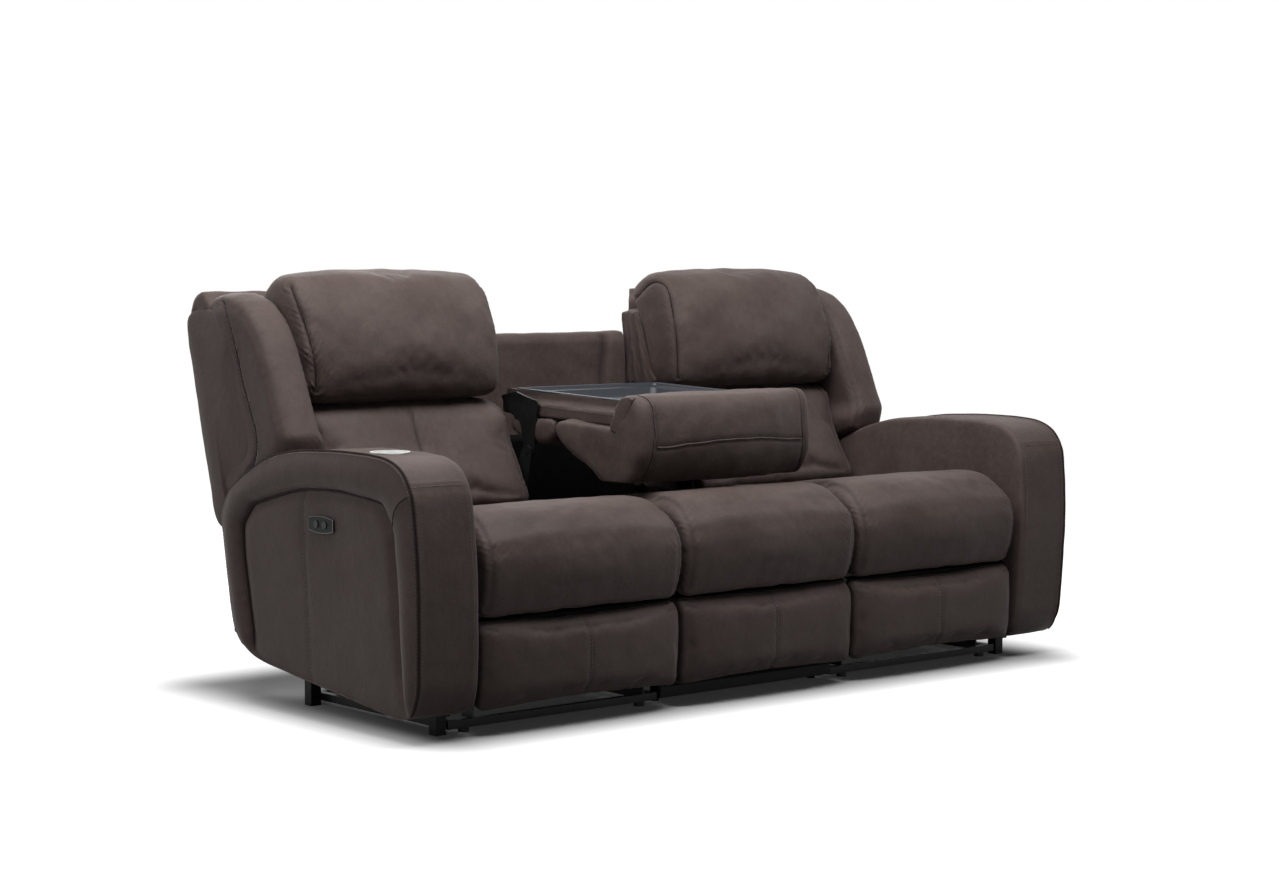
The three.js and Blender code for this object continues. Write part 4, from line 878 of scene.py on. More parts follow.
def make_arm_panel(recess):
    """The recessed outer panel, a lightly padded sheet tucked under the band."""
    low, high = recess.min(0) - PANEL_CELL, recess.max(0) + PANEL_CELL
    ys = np.arange(low[0], high[0] + PANEL_CELL, PANEL_CELL)
    zs = np.arange(low[1], high[1] + PANEL_CELL, PANEL_CELL)
    middle = recess.mean(0)
    grid = np.array([(y, z) for z in zs for y in ys])
    away = grid - middle
    angles = np.arctan2(away[:, 1], away[:, 0])
    rim = polar_outline(recess, middle, angles)
    reach = np.linalg.norm(away, axis=1)
    over = reach > rim + PANEL_TUCK
    grid[over] = middle + away[over] * ((rim[over] + PANEL_TUCK) / reach[over])[:, None]
    edge_gap = np.maximum(rim - reach, 0)
    tucked = (1 - smoothstep(edge_gap, 0.0, 0.045)) ** 1.5
    at_bottom = 1 - smoothstep(grid[:, 1], 0.11, 0.19)
    plate_low, plate_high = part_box("left_switch_plate")
    plate_y, plate_z = (plate_low[Y] + plate_high[Y]) / 2, (plate_low[Z] + plate_high[Z]) / 2
    aside = np.hypot((grid[:, 0] - plate_y) / 0.085, (grid[:, 1] - plate_z) / 0.055)
    crown = 0.0028 * smoothstep(aside, 0.7, 1.8) - 0.0002
    inward = PANEL_RECESS - crown + 0.011 * tucked * (1 - 0.7 * at_bottom)
    points = np.column_stack([arm_x(inward, grid[:, 1]), grid])
    faces = [face for face in turned_over(grid_faces(len(zs), len(ys))) if not over[list(face)].all()]
    panel = new_piece("left_arm_side_panel", points, faces)
    bm = bmesh.new()
    bm.from_mesh(panel.data)
    loose = [vertex for vertex in bm.verts if not vertex.link_faces]
    bmesh.ops.delete(bm, geom=loose, context="VERTS")
    bmesh.ops.remove_doubles(bm, verts=bm.verts, dist=0.0004)
    bm.to_mesh(panel.data)
    bm.free()
    panel.data.shade_smooth()
    soften(panel, 0.0007, seed=21)
    return panel


def part_of(outline, first, last):
    """The part of a closed side outline from one place round to another."""
    start = np.linalg.norm(outline - first, axis=1).argmin()
    turned = np.roll(outline, -start, 0)
    return turned[:np.linalg.norm(turned - last, axis=1).argmin() + 1]


def band_seam_of(rim):
    """The short seam that crosses the band at the arm's front top corner."""
    brow = ARM_TOP - BROW_DROP
    y, z = rim[np.argmin(np.abs(rim[:, 1] - brow) + 5 * (rim[:, 0] - ARM_LOW[Y]))]
    flat, inner = arm_x(0, z), arm_x(0.01, z)
    return [(arm_x(0.004, z), y + 0.004, z + 0.010), (flat, y + 0.034, z - 0.008),
            (flat, y + 0.056, z - 0.040), (inner, y + 0.068, z - 0.085)]


def pipe_arm(cord, body, welt, recess, band_seam):
    """The arm's piping, in near-black leather as painted shade: round the band, under the arch where it
    stands for the recess's shadow, and along the band's short seam.
    """
    path, normals = laid_on(body, welt[::6])
    cord.pipe(path - normals * 0.0002, 0.0030)
    arch = recess[recess[:, 1] > 0.13]
    widest = np.linalg.norm(np.diff(arch, axis=0), axis=1).argmax()
    arch = np.roll(arch, -(widest + 1), 0)
    cord.pipe(np.column_stack([arm_x(0.0155, arch[:, 1]), arch])[::2], 0.0034, 8)
    path, normals = laid_on(body, band_seam)
    cord.pipe(path - normals * 0.0003, 0.0011, 6)


def make_arms():
    body, rim, recess = make_arm_body()
    panel = make_arm_panel(recess)
    brow = ARM_TOP - BROW_DROP
    heel = rim[np.argmin(rim[:, 1] * 1.2 - rim[:, 0])]
    toe = rim[np.argmin(rim[:, 0] + rim[:, 1] * 1.5)]
    round_top = part_of(rim, heel, toe)
    welt = np.column_stack([arm_x(WELT_INSET, round_top[:, 1]), round_top])
    inner = np.column_stack([arm_x(ARM_WIDTH - INNER_SEAM_INSET, round_top[:, 1]), round_top])
    band_seam = band_seam_of(rim)
    brow_seam = [(arm_x(inward, brow), ARM_LOW[Y], brow) for inward in np.linspace(0.012, 0.162, 6)]
    panel_seam = [(arm_x(PANEL_RECESS, z), ARM_LOW[Y] + PANEL_SEAM_BACK - 0.006 * math.sin(z * 9), z)
                  for z in np.linspace(0.075, 0.53, 9)]
    pull_in(body, welt[::8], width=0.0065, depth=0.0036)
    pull_in(body, band_seam, width=0.006, depth=0.0022, gather=0.0006, pitch=0.02, reach=0.02)
    pull_in(body, brow_seam, width=0.005, depth=0.0016)
    pull_in(panel, panel_seam, width=0.007, depth=0.0020, gather=0.0004, pitch=0.03, reach=0.04)
    sewing, cord = Sewing(), Sewing()
    pipe_arm(cord, body, welt, recess, band_seam)
    for sideways in (WELT_INSET, -WELT_INSET):
        sewing.stitch(body, welt[::6], sideways)
    pull_in(body, inner[::8], width=0.005, depth=0.0010)
    sewing.stitch(body, inner[::6])
    sewing.twin_stitch(body, brow_seam)
    sewing.twin_stitch(panel, panel_seam)
    right_body = mirrored(body, "right_arm_cushion")
    right_panel = mirrored(panel, "right_arm_side_panel")
    for piece in (body, panel, right_body, right_panel):
        finished(piece)
    bore_for_cup(body)
    for side, cushion, sheet in (("left", body, panel), ("right", right_body, right_panel)):
        fit_out(cushion, "base", [side + "_arm_cover"])
        fit_out(sheet, "base")
    sewing.make_pair("arm_stitching", "base")
    # The arm's piping is made in the near-black leather as painted shade.
    cord.make_pair("arm_shade_piping", "base", SEAM_SHADOW)


def bore_for_cup(body, corners=64):
    """Cuts the round hole under the cup holder's rim."""
    low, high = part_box("cup_holder")
    middle = [(a + b) / 2 for a, b in zip(low, high)]
    radius = (high[X] - low[X]) / 2 - CUP_RIM_LAP
    turns = np.linspace(0, 2 * math.pi, corners, endpoint=False)
    points = [(middle[X] + radius * math.cos(turn), middle[Y] + radius * math.sin(turn), z)
              for z in (low[Z] - 0.004, high[Z] + 0.1) for turn in turns]
    cutter = new_piece("cup_bore", points, ring_faces(2, corners))
    hole = body.modifiers.new("Hole", "BOOLEAN")
    hole.operation = "DIFFERENCE"
    hole.solver = "EXACT"
    hole.object = cutter
    with_modifiers(body)
    discard(cutter)


# Camera, light and floor
CAMERA_PLACE = (-4.2193, -4.9910, 1.0500)
CAMERA_HEADING = (0.6448, 0.7612, -0.0696)
CAMERA_LENS = 71.78
FLOOR_HALF = 30
SHADOW_SIDE_REACH = -0.14
SHADOW_FRONT_REACH = -0.05
SHADOW_FADE = 0.28


def set_camera():
    camera = bpy.data.objects.new("camera", bpy.data.cameras.new("camera"))
    camera.data.sensor_width = 36
    camera.data.lens = CAMERA_LENS
    camera.data.clip_end = 60
    camera.location = CAMERA_PLACE
    camera.rotation_euler = Vector(CAMERA_HEADING).to_track_quat("-Z", "Y").to_euler()
    bpy.context.collection.objects.link(camera)
    bpy.context.scene.camera = camera


def seen_directly(finish):
    """1 for what the camera sees, straight, mirrored or through glass."""
    seen = finish.node("LightPath", output="Is Camera Ray")
    for name in ("Is Glossy Ray", "Is Transmission Ray"):
        seen = seen.math("MAXIMUM", seen, finish.node("LightPath", output=name))
    return seen


def set_floor():
    """A pale floor with a painted shadow under and beside the sofa, white further out."""
    corners = [(x * FLOOR_HALF, y * FLOOR_HALF, 0) for x, y in ((-1, -1), (1, -1), (1, 1), (-1, 1))]
    finish = Finish(bpy.data.materials.new("studio_floor"))
    seen = seen_directly(finish)
    shade = finish.blend(seen, (0.06, 0.06, 0.06), (0.45, 0.45, 0.45))
    matt = finish.node("BsdfDiffuse", {}, {"Color": shade})
    past = []
    half_wide, half_deep = cad_box[1][X] + SHADOW_SIDE_REACH, cad_box[1][Y] + SHADOW_FRONT_REACH
    for axis, reach in (("X", half_wide), ("Y", half_deep)):
        along = finish.node("SeparateXYZ", {}, [finish.place], axis)
        past.append(along.math("MAXIMUM", along.math("ABSOLUTE", along) - reach, 0.0))
    clear = (past[0] * past[0] + past[1] * past[1]) ** 0.5
    # Painted shadow: the floor's white glow is cut to almost nothing over the sofa's footprint and comes
    # back over SHADOW_FADE beyond it.
    strength = seen * (0.02 + 0.98 * clear.ramp(0.0, SHADOW_FADE))
    floor_glow_and_shadow = finish.node("Emission", {}, {"Color": WHITE, "Strength": strength})
    both = finish.node("AddShader", {}, [matt, floor_glow_and_shadow])
    finish.node("OutputMaterial", {}, {"Surface": both})
    new_piece("studio_floor", corners, [(0, 1, 2, 3)], finish.owner)


def set_world():
    world = bpy.data.worlds.new("studio")
    bpy.context.scene.world = world
    finish = Finish(world)
    strength = seen_directly(finish) * 0.975 + 0.025
    back = finish.node("Background", {}, {"Color": WHITE, "Strength": strength})
    finish.node("OutputWorld", {}, {"Surface": back})


def add_lamp(name, place, aim, size, power):
    lamp = bpy.data.lights.new(name, "AREA")
    lamp.shape = "RECTANGLE"
    lamp.size, lamp.size_y = size
    lamp.energy = power
    holder = bpy.data.objects.new(name, lamp)
    holder.location = place
    holder.rotation_euler = (Vector(aim) - Vector(place)).to_track_quat("-Z", "Y").to_euler()
    bpy.context.collection.objects.link(holder)


def set_stage():
    set_camera()
    set_floor()
    set_world()
    add_lamp("overhead_softbox", (-0.5, -0.82, 3.1), aim=(-0.2, -0.35, 0.3), size=(3.4, 1.1), power=122)
    add_lamp("rear_softbox", (0.8, 3.0, 2.6), aim=(0.0, 0.3, 0.6), size=(3.0, 1.6), power=42)
    add_lamp("left_fill", (-4.2, 0.3, 2.6), aim=(0, 0, 0.5), size=(2.0, 1.6), power=30)


# Seats and lower front panels
NEIGHBOUR_GAP = 0.0005
END_SEAM_INSET = 0.016
SEAT_SWELL = 0.026
SEAT_TOP_CROWN = 0.003
SEAT_FRONT_SAG = 0.006
PANEL_SWELL = 0.014
PANEL_TOP_RISE = 0.0035


def side_line(node, first, last, x):
    """Part of a cushion's side outline, from one corner of its box round to another, at one x."""
    low, high = (np.array(corner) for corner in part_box(node))
    outline = rounded_outline(node, 40, 160)
    places = [low[1:] + share * (high - low)[1:] for share in (np.array(first), np.array(last))]
    line = part_of(outline, *places)
    return np.column_stack([np.full(len(line), x), line])[::5]


def make_seat(node, name):
    """A seat cushion with a deep front roll, its side seams gathered at the front."""
    low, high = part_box(node)
    piece = pad_over(node, name, cell=0.0105)
    stuffed(piece, SEAT_SWELL)
    pressed_flat(piece, X, low[X] + NEIGHBOUR_GAP, -1)
    pressed_flat(piece, X, high[X] - NEIGHBOUR_GAP, 1)
    pressed_flat(piece, Y, high[Y], 1)
    pressed_flat(piece, Z, low[Z] - SEAT_FRONT_SAG, -1)
    pressed_flat(piece, Z, high[Z] + SEAT_TOP_CROWN, 1, soft=0.022)
    pressed_to_top(piece, node)
    points = points_of(piece)
    at_front = 1 - smoothstep(points[:, Y], low[Y] + 0.03, low[Y] + 0.09)
    at_foot = 1 - smoothstep(points[:, Z], low[Z], low[Z] + 0.05)
    points[:, Z] -= SEAT_FRONT_SAG * at_front * at_foot
    move_points(piece, points)
    finer(piece)
    for x in (low[X] + END_SEAM_INSET, high[X] - END_SEAM_INSET):
        seam = side_line(node, (0.9, 1.0), (0.05, 0.05), x)
        pull_in(piece, seam, width=0.0065, depth=0.0030, gather=0.0011, pitch=0.019, reach=0.040)
    soften(piece, 0.0016, seed=31)
    return finished(piece)


def make_seats():
    """The left seat, its mirror image, and a middle one drawn in to its own width."""
    left = make_seat("left_seat_cushion", "left_seat")
    right = mirrored(left, "right_seat")
    middle = mirrored(left, "middle_seat")
    inner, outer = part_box("middle_seat_cushion"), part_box("left_seat_cushion")
    points = points_of(middle)
    centre = -(outer[0][X] + outer[1][X]) / 2
    scale = (inner[1][X] - inner[0][X]) / (outer[1][X] - outer[0][X])
    points[:, X] = (points[:, X] - centre) * scale
    move_points(middle, points)
    for piece in (left, right, middle):
        fit_out(piece, "base", [piece.name + "_cushion"])


def make_lower_panel(node, name):
    """A padded front panel with a seam down its middle, and the path of that seam."""
    low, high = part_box(node)
    piece = pad_over(node, name, cell=0.0085)
    stuffed(piece, PANEL_SWELL)
    pressed_flat(piece, X, low[X] + NEIGHBOUR_GAP, -1)
    pressed_flat(piece, X, high[X] - NEIGHBOUR_GAP, 1)
    pressed_flat(piece, Z, high[Z] + 0.002, 1)
    points = points_of(piece)
    points[:, Z] += PANEL_TOP_RISE * smoothstep(points[:, Z], high[Z] - 0.05, high[Z])
    move_points(piece, points)
    finer(piece)
    middle = (low[X] + high[X]) / 2
    seam = [(middle, low[Y], z) for z in np.linspace(high[Z] - 0.004, low[Z] + 0.012, 7)]
    pull_in(piece, seam, width=0.007, depth=0.0028, gather=0.0006, pitch=0.03, reach=0.03)
    for x, way in ((low[X], 1), (high[X], -1)):
        tuck = [(x, low[Y], high[Z]), (x + 0.04 * way, low[Y], high[Z] - 0.014)]
        pull_in(piece, tuck, width=0.006, depth=0.0026, gather=0.0008, pitch=0.018, reach=0.03)
    soften(piece, 0.0012, seed=41)
    return piece, seam


def make_lower_panels():
    left, seam = make_lower_panel("left_footrest_pad", "left_footrest_cushion")
    middle, middle_seam = make_lower_panel("middle_front_panel", "middle_front_pad")
    thread, middle_thread = Sewing(), Sewing()
    thread.twin_stitch(left, seam)
    middle_thread.twin_stitch(middle, middle_seam)
    fit_out_pair(left, "footrest", "footrest_pad")
    fit_out(finished(middle), "base", ["middle_front_panel"])
    thread.make_pair("footrest_stitching", "footrest")
    middle_thread.make("middle_front_stitching", "base")


# Backs
WING_GIVE = 0.019
WING_SWELL = 0.014
SEAM_SETBACK = 0.110
SEAM_SWEEP = 0.030
SLANT_WIDTH = 0.125
SLANT_RUN = 0.138
SLANT_DROP = 0.132
SLANT_ROUND = 0.075
PILLOW_CELL = 0.0105
PILLOW_SWELL = 0.018
LUMBAR_FILL = 0.024
LUMBAR_SLOPE = 0.35
LOWER_END_GIVE = 0.0075
PLEAT_DEPTH = 0.060


def edge_at(outline, z, rear=False):
    """Where a side outline's front or rear edge is at a height."""
    near = outline[np.abs(outline[:, 1] - z) < 0.02]
    return near[:, 0].max() if rear else near[:, 0].min()


def edge_line(outline, heights):
    """Where a side outline's front edge is at each of many heights."""
    levels = np.linspace(outline[:, 1].min() + 0.004, outline[:, 1].max() - 0.004, 40)
    return np.interp(heights, levels, [edge_at(outline, z) for z in levels])


def sheet_of(name, outline, x_back, x_face, crown=0.006):
    """A padded sheet with a flat back and a crowned face, from its side outline."""
    rim = evenly(through(outline, True), 150, True)
    away = rim.mean(0) - rim
    inward = away / np.linalg.norm(away, axis=1, keepdims=True)
    way = 1 if x_face > x_back else -1
    thick = abs(x_face - x_back)
    rings = [(rim + away * share, 0.0) for share in (0.9, 0.6, 0.3, 0.06)]
    for inset, height in ((0.002, 0.0), (0.0, 0.25), (0.0005, 0.55), (0.003, 0.82), (0.007, 0.95)):
        rings.append((rim + inward * inset, thick * height))
    for share in (0.07, 0.13, 0.22, 0.34, 0.48, 0.64, 0.8, 0.93):
        rise = thick * 0.97 + crown * math.sin(0.5 * math.pi * min(1, share * 1.6))
        rings.append((rim + away * share, rise))
    points = [np.column_stack([np.full(len(rim), x_back + way * rise), flat]) for flat, rise in rings]
    return new_piece(name, np.vstack(points), ring_faces(len(rings), len(rim), way))


def wing_seam(wing, x, low, high, count=12):
    """The gathered seam on the wing's outer side, as far behind its front edge as it is sewn."""
    line = []
    for z in np.linspace(high, low, count):
        share = (z - low) / (high - low)
        setback = SEAM_SETBACK + SEAM_SWEEP * math.sin(math.pi * share)
        line.append((x, edge_at(wing, z) + setback, z))
    return line


def make_wings():
    """The bolster on each back's outer side, with its gathered seam and the panel behind it."""
    low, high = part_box("left_wing")
    outline = outline_of("left_wing")
    piece = pad_over("left_wing", "left_wing_bolster", cell=0.0095)
    stuffed(piece, WING_SWELL)
    pressed_flat(piece, X, high[X] + 0.003, 1)
    pressed_flat(piece, X, low[X] - 0.006, -1)
    points, normals = points_of(piece), normals_of(piece)
    underside = smoothstep(-normals[:, Z], 0.2, 0.8) * (points[:, Z] < low[Z] + 0.16)
    points[:, Z] -= 0.012 * underside
    move_points(piece, points)
    widened(piece, low[X] + 0.02, high[X], -WING_GIVE, ARM_TOP - 0.02, ARM_TOP + 0.03)
    finer(piece)
    seam = wing_seam(outline, low[X] - 0.004, low[Z] + 0.06, high[Z] - 0.012)
    sewing, cord = Sewing(), Sewing()
    # A near-black cord sunk in the seam: painted shade along its groove.
    cord.pipe(sunk(piece, seam, 0.0038), 0.0014, 6)
    pull_in(piece, seam, width=0.006, depth=0.0045, gather=0.0022, pitch=0.0150, reach=0.026)
    sewing.stitch(piece, seam, 0.005)
    sewing.stitch(piece, seam, -0.006)
    heights = np.linspace(high[Z] - 0.02, low[Z] + 0.05, 9)
    front = [(high[X] - 0.008, edge_at(outline, z), z) for z in heights]
    pull_in(piece, front, width=0.007, depth=0.0022, gather=0.0010, pitch=0.022, reach=0.03)
    soften(piece, 0.0014, seed=51)
    fit_out_pair(piece, "back", "wing")
    make_side_panels(outline, low, high)
    sewing.make_pair("wing_stitching", "back")
    cord.make_pair("wing_seam_shade_cord", "back", SEAM_SHADOW)


def clear_of_arm(line, margin):
    """Moves the places of a side line that are inside the arm out past its edge."""
    arm = outline_of("left_arm_cover")
    middle = arm.mean(0)
    away = np.array(line) - middle
    reach = np.linalg.norm(away, axis=1)
    edge = polar_outline(arm, middle, np.arctan2(away[:, 1], away[:, 0])) + margin
    return [tuple(point) for point in middle + away * (np.maximum(reach, edge) / reach)[:, None]]


def make_side_panels(wing, low, high):
    """The outer side of each back: a panel behind the gathered seam with a rolled top."""
    shell = outline_of("left_back_shell")
    top = high[Z] - 0.055
    foot = low[Z] - 0.06
    seam = wing_seam(wing, 0, low[Z] + 0.03, top - 0.012, 9)
    front = [(y + 0.018, z) for _, y, z in seam] + [(seam[-1][1] + 0.018, foot + 0.02)]
    front = clear_of_arm(front, 0.010)
    rear = [(edge_at(shell, z, True) - 0.010, z) for z in np.linspace(foot + 0.03, top - 0.006, 9)]
    crest = [(rear[-1][0] * 0.6 + front[0][0] * 0.4, top + 0.012)]
    base = [((rear[0][0] + front[-1][0]) / 2, foot)]
    outline = np.array(front + base + rear + crest)
    sheet = sheet_of("left_back_side_panel", outline, low[X] + 0.006, low[X] - 0.003, crown=0.010)
    soften(sheet, 0.0012, seed=61)
    fit_out_pair(sheet, "back")


def gusset(high):
    """A filler over the back's board that closes the shell beside the console."""
    board = node_points("left_back_frame")
    end = hull(board[board[:, X] < board[:, X].min() + 0.001][:, 1:])
    end = end + (end - end.mean(0)) * (0.16, 0.008)
    points = [(x, y, z) for x in (high[X] - 0.11, high[X] - 0.001) for y, z in end]
    return points, ring_faces(2, len(end))


def make_back_covers():
    """The padded outside of each back, sewn down its middle and along its hem."""
    low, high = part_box("left_back_shell")
    shell = pad_over("left_back_shell", "left_back_cover", cell=0.0068, fillers=[gusset(high)])
    slanted(shell, high)
    soften(shell, 0.0018, seed=71)
    middle = (low[X] + high[X]) / 2
    seam = [(middle, high[Y] + 0.02, z) for z in np.linspace(high[Z] - 0.05, low[Z] + 0.03, 12)]
    pull_in(shell, seam, width=0.009, depth=0.0030, gather=0.0006, pitch=0.03, reach=0.04)
    hem_z = low[Z] + 0.05
    hem_y = edge_at(outline_of("left_back_shell"), hem_z, True)
    hem = [(x, hem_y, hem_z) for x in np.linspace(low[X] + 0.02, high[X] - 0.02, 12)]
    pull_in(shell, hem, width=0.008, depth=0.0020)
    sewing = Sewing()
    sewing.twin_stitch(shell, seam)
    sewing.stitch(shell, hem)
    fit_out_pair(shell, "back", "back_shell")
    sewing.make_pair("back_stitching", "back")
    make_pleats()


def slanted(cover, high):
    """Draws a back's inner rear corner in to the slant of its solid, and rounds it to the top."""
    points = points_of(cover)
    turn = math.atan2(SLANT_RUN, SLANT_WIDTH)
    aside, behind = points[:, X] - high[X], points[:, Y] - high[Y] + SLANT_RUN
    beyond = math.sin(turn) * aside + math.cos(turn) * behind
    beyond += 0.007 - np.maximum(0, high[Z] - SLANT_DROP - points[:, Z])
    over = np.maximum(beyond, 0)
    points[:, X] -= math.sin(turn) * over
    points[:, Y] -= math.cos(turn) * over
    turn_in = np.clip((points[:, X] - high[X]) / SLANT_ROUND + 1, 0, 1)
    limit = high[Z] - SLANT_ROUND * (1 - np.sqrt(1 - turn_in ** 2))
    points[:, Z] = np.minimum(points[:, Z], limit)
    move_points(cover, relaxed(points, edges_of(cover), 3))


def head_rear(z):
    """How far back a head pillow's inner end reaches at a height; the pleats fill the rest."""
    low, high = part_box("left_headrest")
    heights = low[Z] + np.array([-0.02, 0.02, 0.16, 0.22, 0.28, 0.34])
    return np.interp(z, heights, high[Y] - np.array([0.140, 0.136, 0.091, 0.062, 0.020, 0.0]))


def make_pleats():
    """The pleated leather that closes each back behind its head pillow, beside the console."""
    low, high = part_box("left_headrest")
    heights = np.linspace(low[Z] + 0.01, low[Z] + 0.200, 7)
    front = [(head_rear(z) + 0.006, z) for z in heights]
    rear = [(high[Y] + 0.012 - 0.10 * (heights[-1] - z), z) for z in heights[::-1]]
    crest = [((front[-1][0] + rear[0][0]) / 2 + 0.012, heights[-1] + 0.014)]
    outline = evenly(through(front + crest + rear, True), 120, True)
    face = high[X] - 0.001
    pleats = sheet_of("left_back_pleats", outline, high[X] - PLEAT_DEPTH, face, crown=0.003)
    finer(pleats)
    for share in (0.28, 0.60, 0.86):
        fold = [(high[X], a[0] + share * (b[0] - a[0]), a[1]) for a, b in zip(front, rear[::-1])]
        pull_in(pleats, fold, width=0.0065, depth=0.0050, gather=0.0008, pitch=0.06, reach=0.03)
    fit_out_pair(pleats, "back")


def fill_lumbar_corner(piece, high):
    """Fills a lumbar pillow's inner upper corner forward, where the sides draw it in too far."""
    points = points_of(piece)
    front = edge_line(outline_of("left_back_cushion"), points[:, Z])
    full = smoothstep(points[:, X], high[X] - 0.16, high[X] - 0.05)
    full *= smoothstep(-points[:, Z], -high[Z], 0.05 - high[Z])
    full *= smoothstep(front - points[:, Y], -0.13, -0.03)
    points[:, Y] -= LUMBAR_FILL * full
    move_points(piece, points)


def make_lumbar_pillows():
    low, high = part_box("left_back_cushion")
    piece = pad_over("left_back_cushion", "left_lumbar_pillow", cell=PILLOW_CELL)
    stuffed(piece, PILLOW_SWELL)
    pressed_flat(piece, X, low[X] - 0.002, -1)
    pressed_flat(piece, X, high[X] + 0.002, 1)
    widened(piece, low[X] + 0.2, low[X], LOWER_END_GIVE - WING_GIVE)
    widened(piece, low[X] + 0.2, low[X], -LOWER_END_GIVE, ARM_TOP + 0.01, ARM_TOP + 0.04)
    squared(piece, 1, reach=0.07)
    fill_lumbar_corner(piece, high)
    finer(piece)
    middle = (low[X] + high[X]) / 2
    heights = np.linspace(high[Z] - 0.004, low[Z] + 0.03, 9)
    seam = [(middle, low[Y] - 0.01 + LUMBAR_SLOPE * (z - low[Z]), z) for z in heights]
    pull_in(piece, seam, width=0.0075, depth=0.0032, gather=0.0007, pitch=0.04, reach=0.05)
    for x in (low[X] + 0.018, high[X] - 0.018):
        end_seam = side_line("left_back_cushion", (0.8, 1.0), (0.1, 0.05), x)
        pull_in(piece, end_seam, width=0.0065, depth=0.0028, gather=0.0010, pitch=0.021, reach=0.035)
    soften(piece, 0.0018, seed=91)
    # A fine near-black cord along the seam: painted shade in its groove.
    cord = Sewing()
    path, normals = laid_on(piece, seam)
    cord.pipe(path - normals * 0.0003, 0.0009, 6)
    fit_out_pair(piece, "back", "back_cushion")
    cord.make_pair("lumbar_seam_shade", "back", SEAM_SHADOW)


def head_seams(low, high):
    """The seam along the wing and the arched seam of the inner end, each with its gathers."""
    wing, wing_top = outline_of("left_wing"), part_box("left_wing")[1][Z]
    end = low[X] - WING_GIVE
    heights = np.linspace(wing_top - 0.035, low[Z] + 0.02, 10)
    outer = [(end, edge_at(wing, z) - 0.020, z) for z in heights]
    outer.insert(0, (end, outer[0][1] + 0.040, high[Z] - 0.030))
    arch = ((0.007, 0.205, 0.088), (0.017, 0.150, 0.045), (0.019, 0.098, 0.048), (0.005, 0.063, 0.090))
    upright = ((0.001, 0.040, 0.185), (0.001, 0.034, 0.245), (0.001, 0.034, 0.305))
    inner = [(high[X] - inset, low[Y] + back, high[Z] - drop) for inset, back, drop in arch + upright]
    return (outer, 0.0026), (inner, 0.0008)


def make_head_pillows():
    low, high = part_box("left_headrest")
    piece = pad_over("left_headrest", "left_head_pillow", cell=PILLOW_CELL)
    stuffed(piece, PILLOW_SWELL)
    pressed_flat(piece, X, low[X] - 0.005, -1)
    pressed_flat(piece, X, high[X] + 0.001, 1)
    widened(piece, low[X] + 0.2, low[X], -WING_GIVE)
    points = points_of(piece)
    at_inner_end = smoothstep(points[:, X], high[X] - 0.14, high[X] - 0.065)
    behind = np.maximum(points[:, Y] - head_rear(points[:, Z]), 0)
    points[:, Y] -= 0.96 * at_inner_end * behind
    move_points(piece, points)
    finer(piece)
    # Near-black cords sunk in the seams: painted shade along their grooves.
    cord = Sewing()
    for seam, gather in head_seams(low, high):
        cord.pipe(sunk(piece, seam, 0.0034), 0.0013, 6)
        pull_in(piece, seam, width=0.006, depth=0.0042, gather=gather, pitch=0.019, reach=0.034)
    soften(piece, 0.0018, seed=101)
    fit_out_pair(piece, "head", "headrest")
    cord.make_pair("head_seams", "head", SEAM_SHADOW)


def make_centre_back():
    """The fixed rear panel behind the console, with one wide fold."""
    low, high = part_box("rear_centre_panel")
    piece = pad_over("rear_centre_panel", "centre_back_cover", cell=PILLOW_CELL)
    pressed_flat(piece, X, low[X], -1)
    pressed_flat(piece, X, high[X], 1)
    x = low[X] + 0.855 * (high[X] - low[X])
    heights = np.linspace(high[Z], low[Z] + 0.3, 9)
    fold = [(x + 0.006 * math.sin(z * 24), low[Y], z) for z in heights]
    pull_in(piece, fold, width=0.014, depth=0.010, gather=0.0008, pitch=0.05, reach=0.05)
    soften(piece, 0.0025, seed=111)
    fit_out(finished(piece), "base", ["rear_centre_panel"])


# Console
CONSOLE_SLOPE = math.tan(math.radians(2.0))
CONSOLE_LIP = 0.022
CONSOLE_STEP = 0.014
TAB_REACH = 0.0150
TRAY_CORNER = 0.010
TRAY_WELL_CORNER = 0.018
TRAY_WELL_DEPTH = 0.030
TRAY_FLOOR_THICK = 0.003
CONSOLE_PAD_SWELL = 0.012
CONSOLE_PAD_GIVE = 0.008
ROLL_SWELL = 0.015
ROLL_GIVE = 0.019
ROLL_SAG = 0.020


def rounded_ring(half, front, rear, radius, z, count=9):
    """A rectangle with round corners, seen from above."""
    ring = []
    corners = ((half - radius, rear - radius), (-half + radius, rear - radius),
               (-half + radius, front + radius), (half - radius, front + radius))
    for quarter, (x, y) in enumerate(corners):
        for step in range(count):
            turn = math.pi / 2 * (quarter + step / (count - 1))
            ring.append((x + radius * math.cos(turn), y + radius * math.sin(turn), z))
    return ring


def make_console_tabs(low, high):
    """Leather tabs that tie the roll to the board's side rails."""
    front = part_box("console_headrest")[0][Y] + 0.085
    top = high[Z] - 0.004
    outline = np.array([
        (front, top), (front + 0.045, top), (front + 0.068, top - 0.035), (front + 0.088, top - 0.078),
        (front + 0.050, top - 0.090), (front + 0.026, top - 0.050),
    ])
    tab = sheet_of("left_console_tab", outline, low[X] + 0.002, low[X] - TAB_REACH, crown=0.0015)
    for piece in (tab, mirrored(tab, "right_console_tab")):
        fit_out(finished(piece), "console")


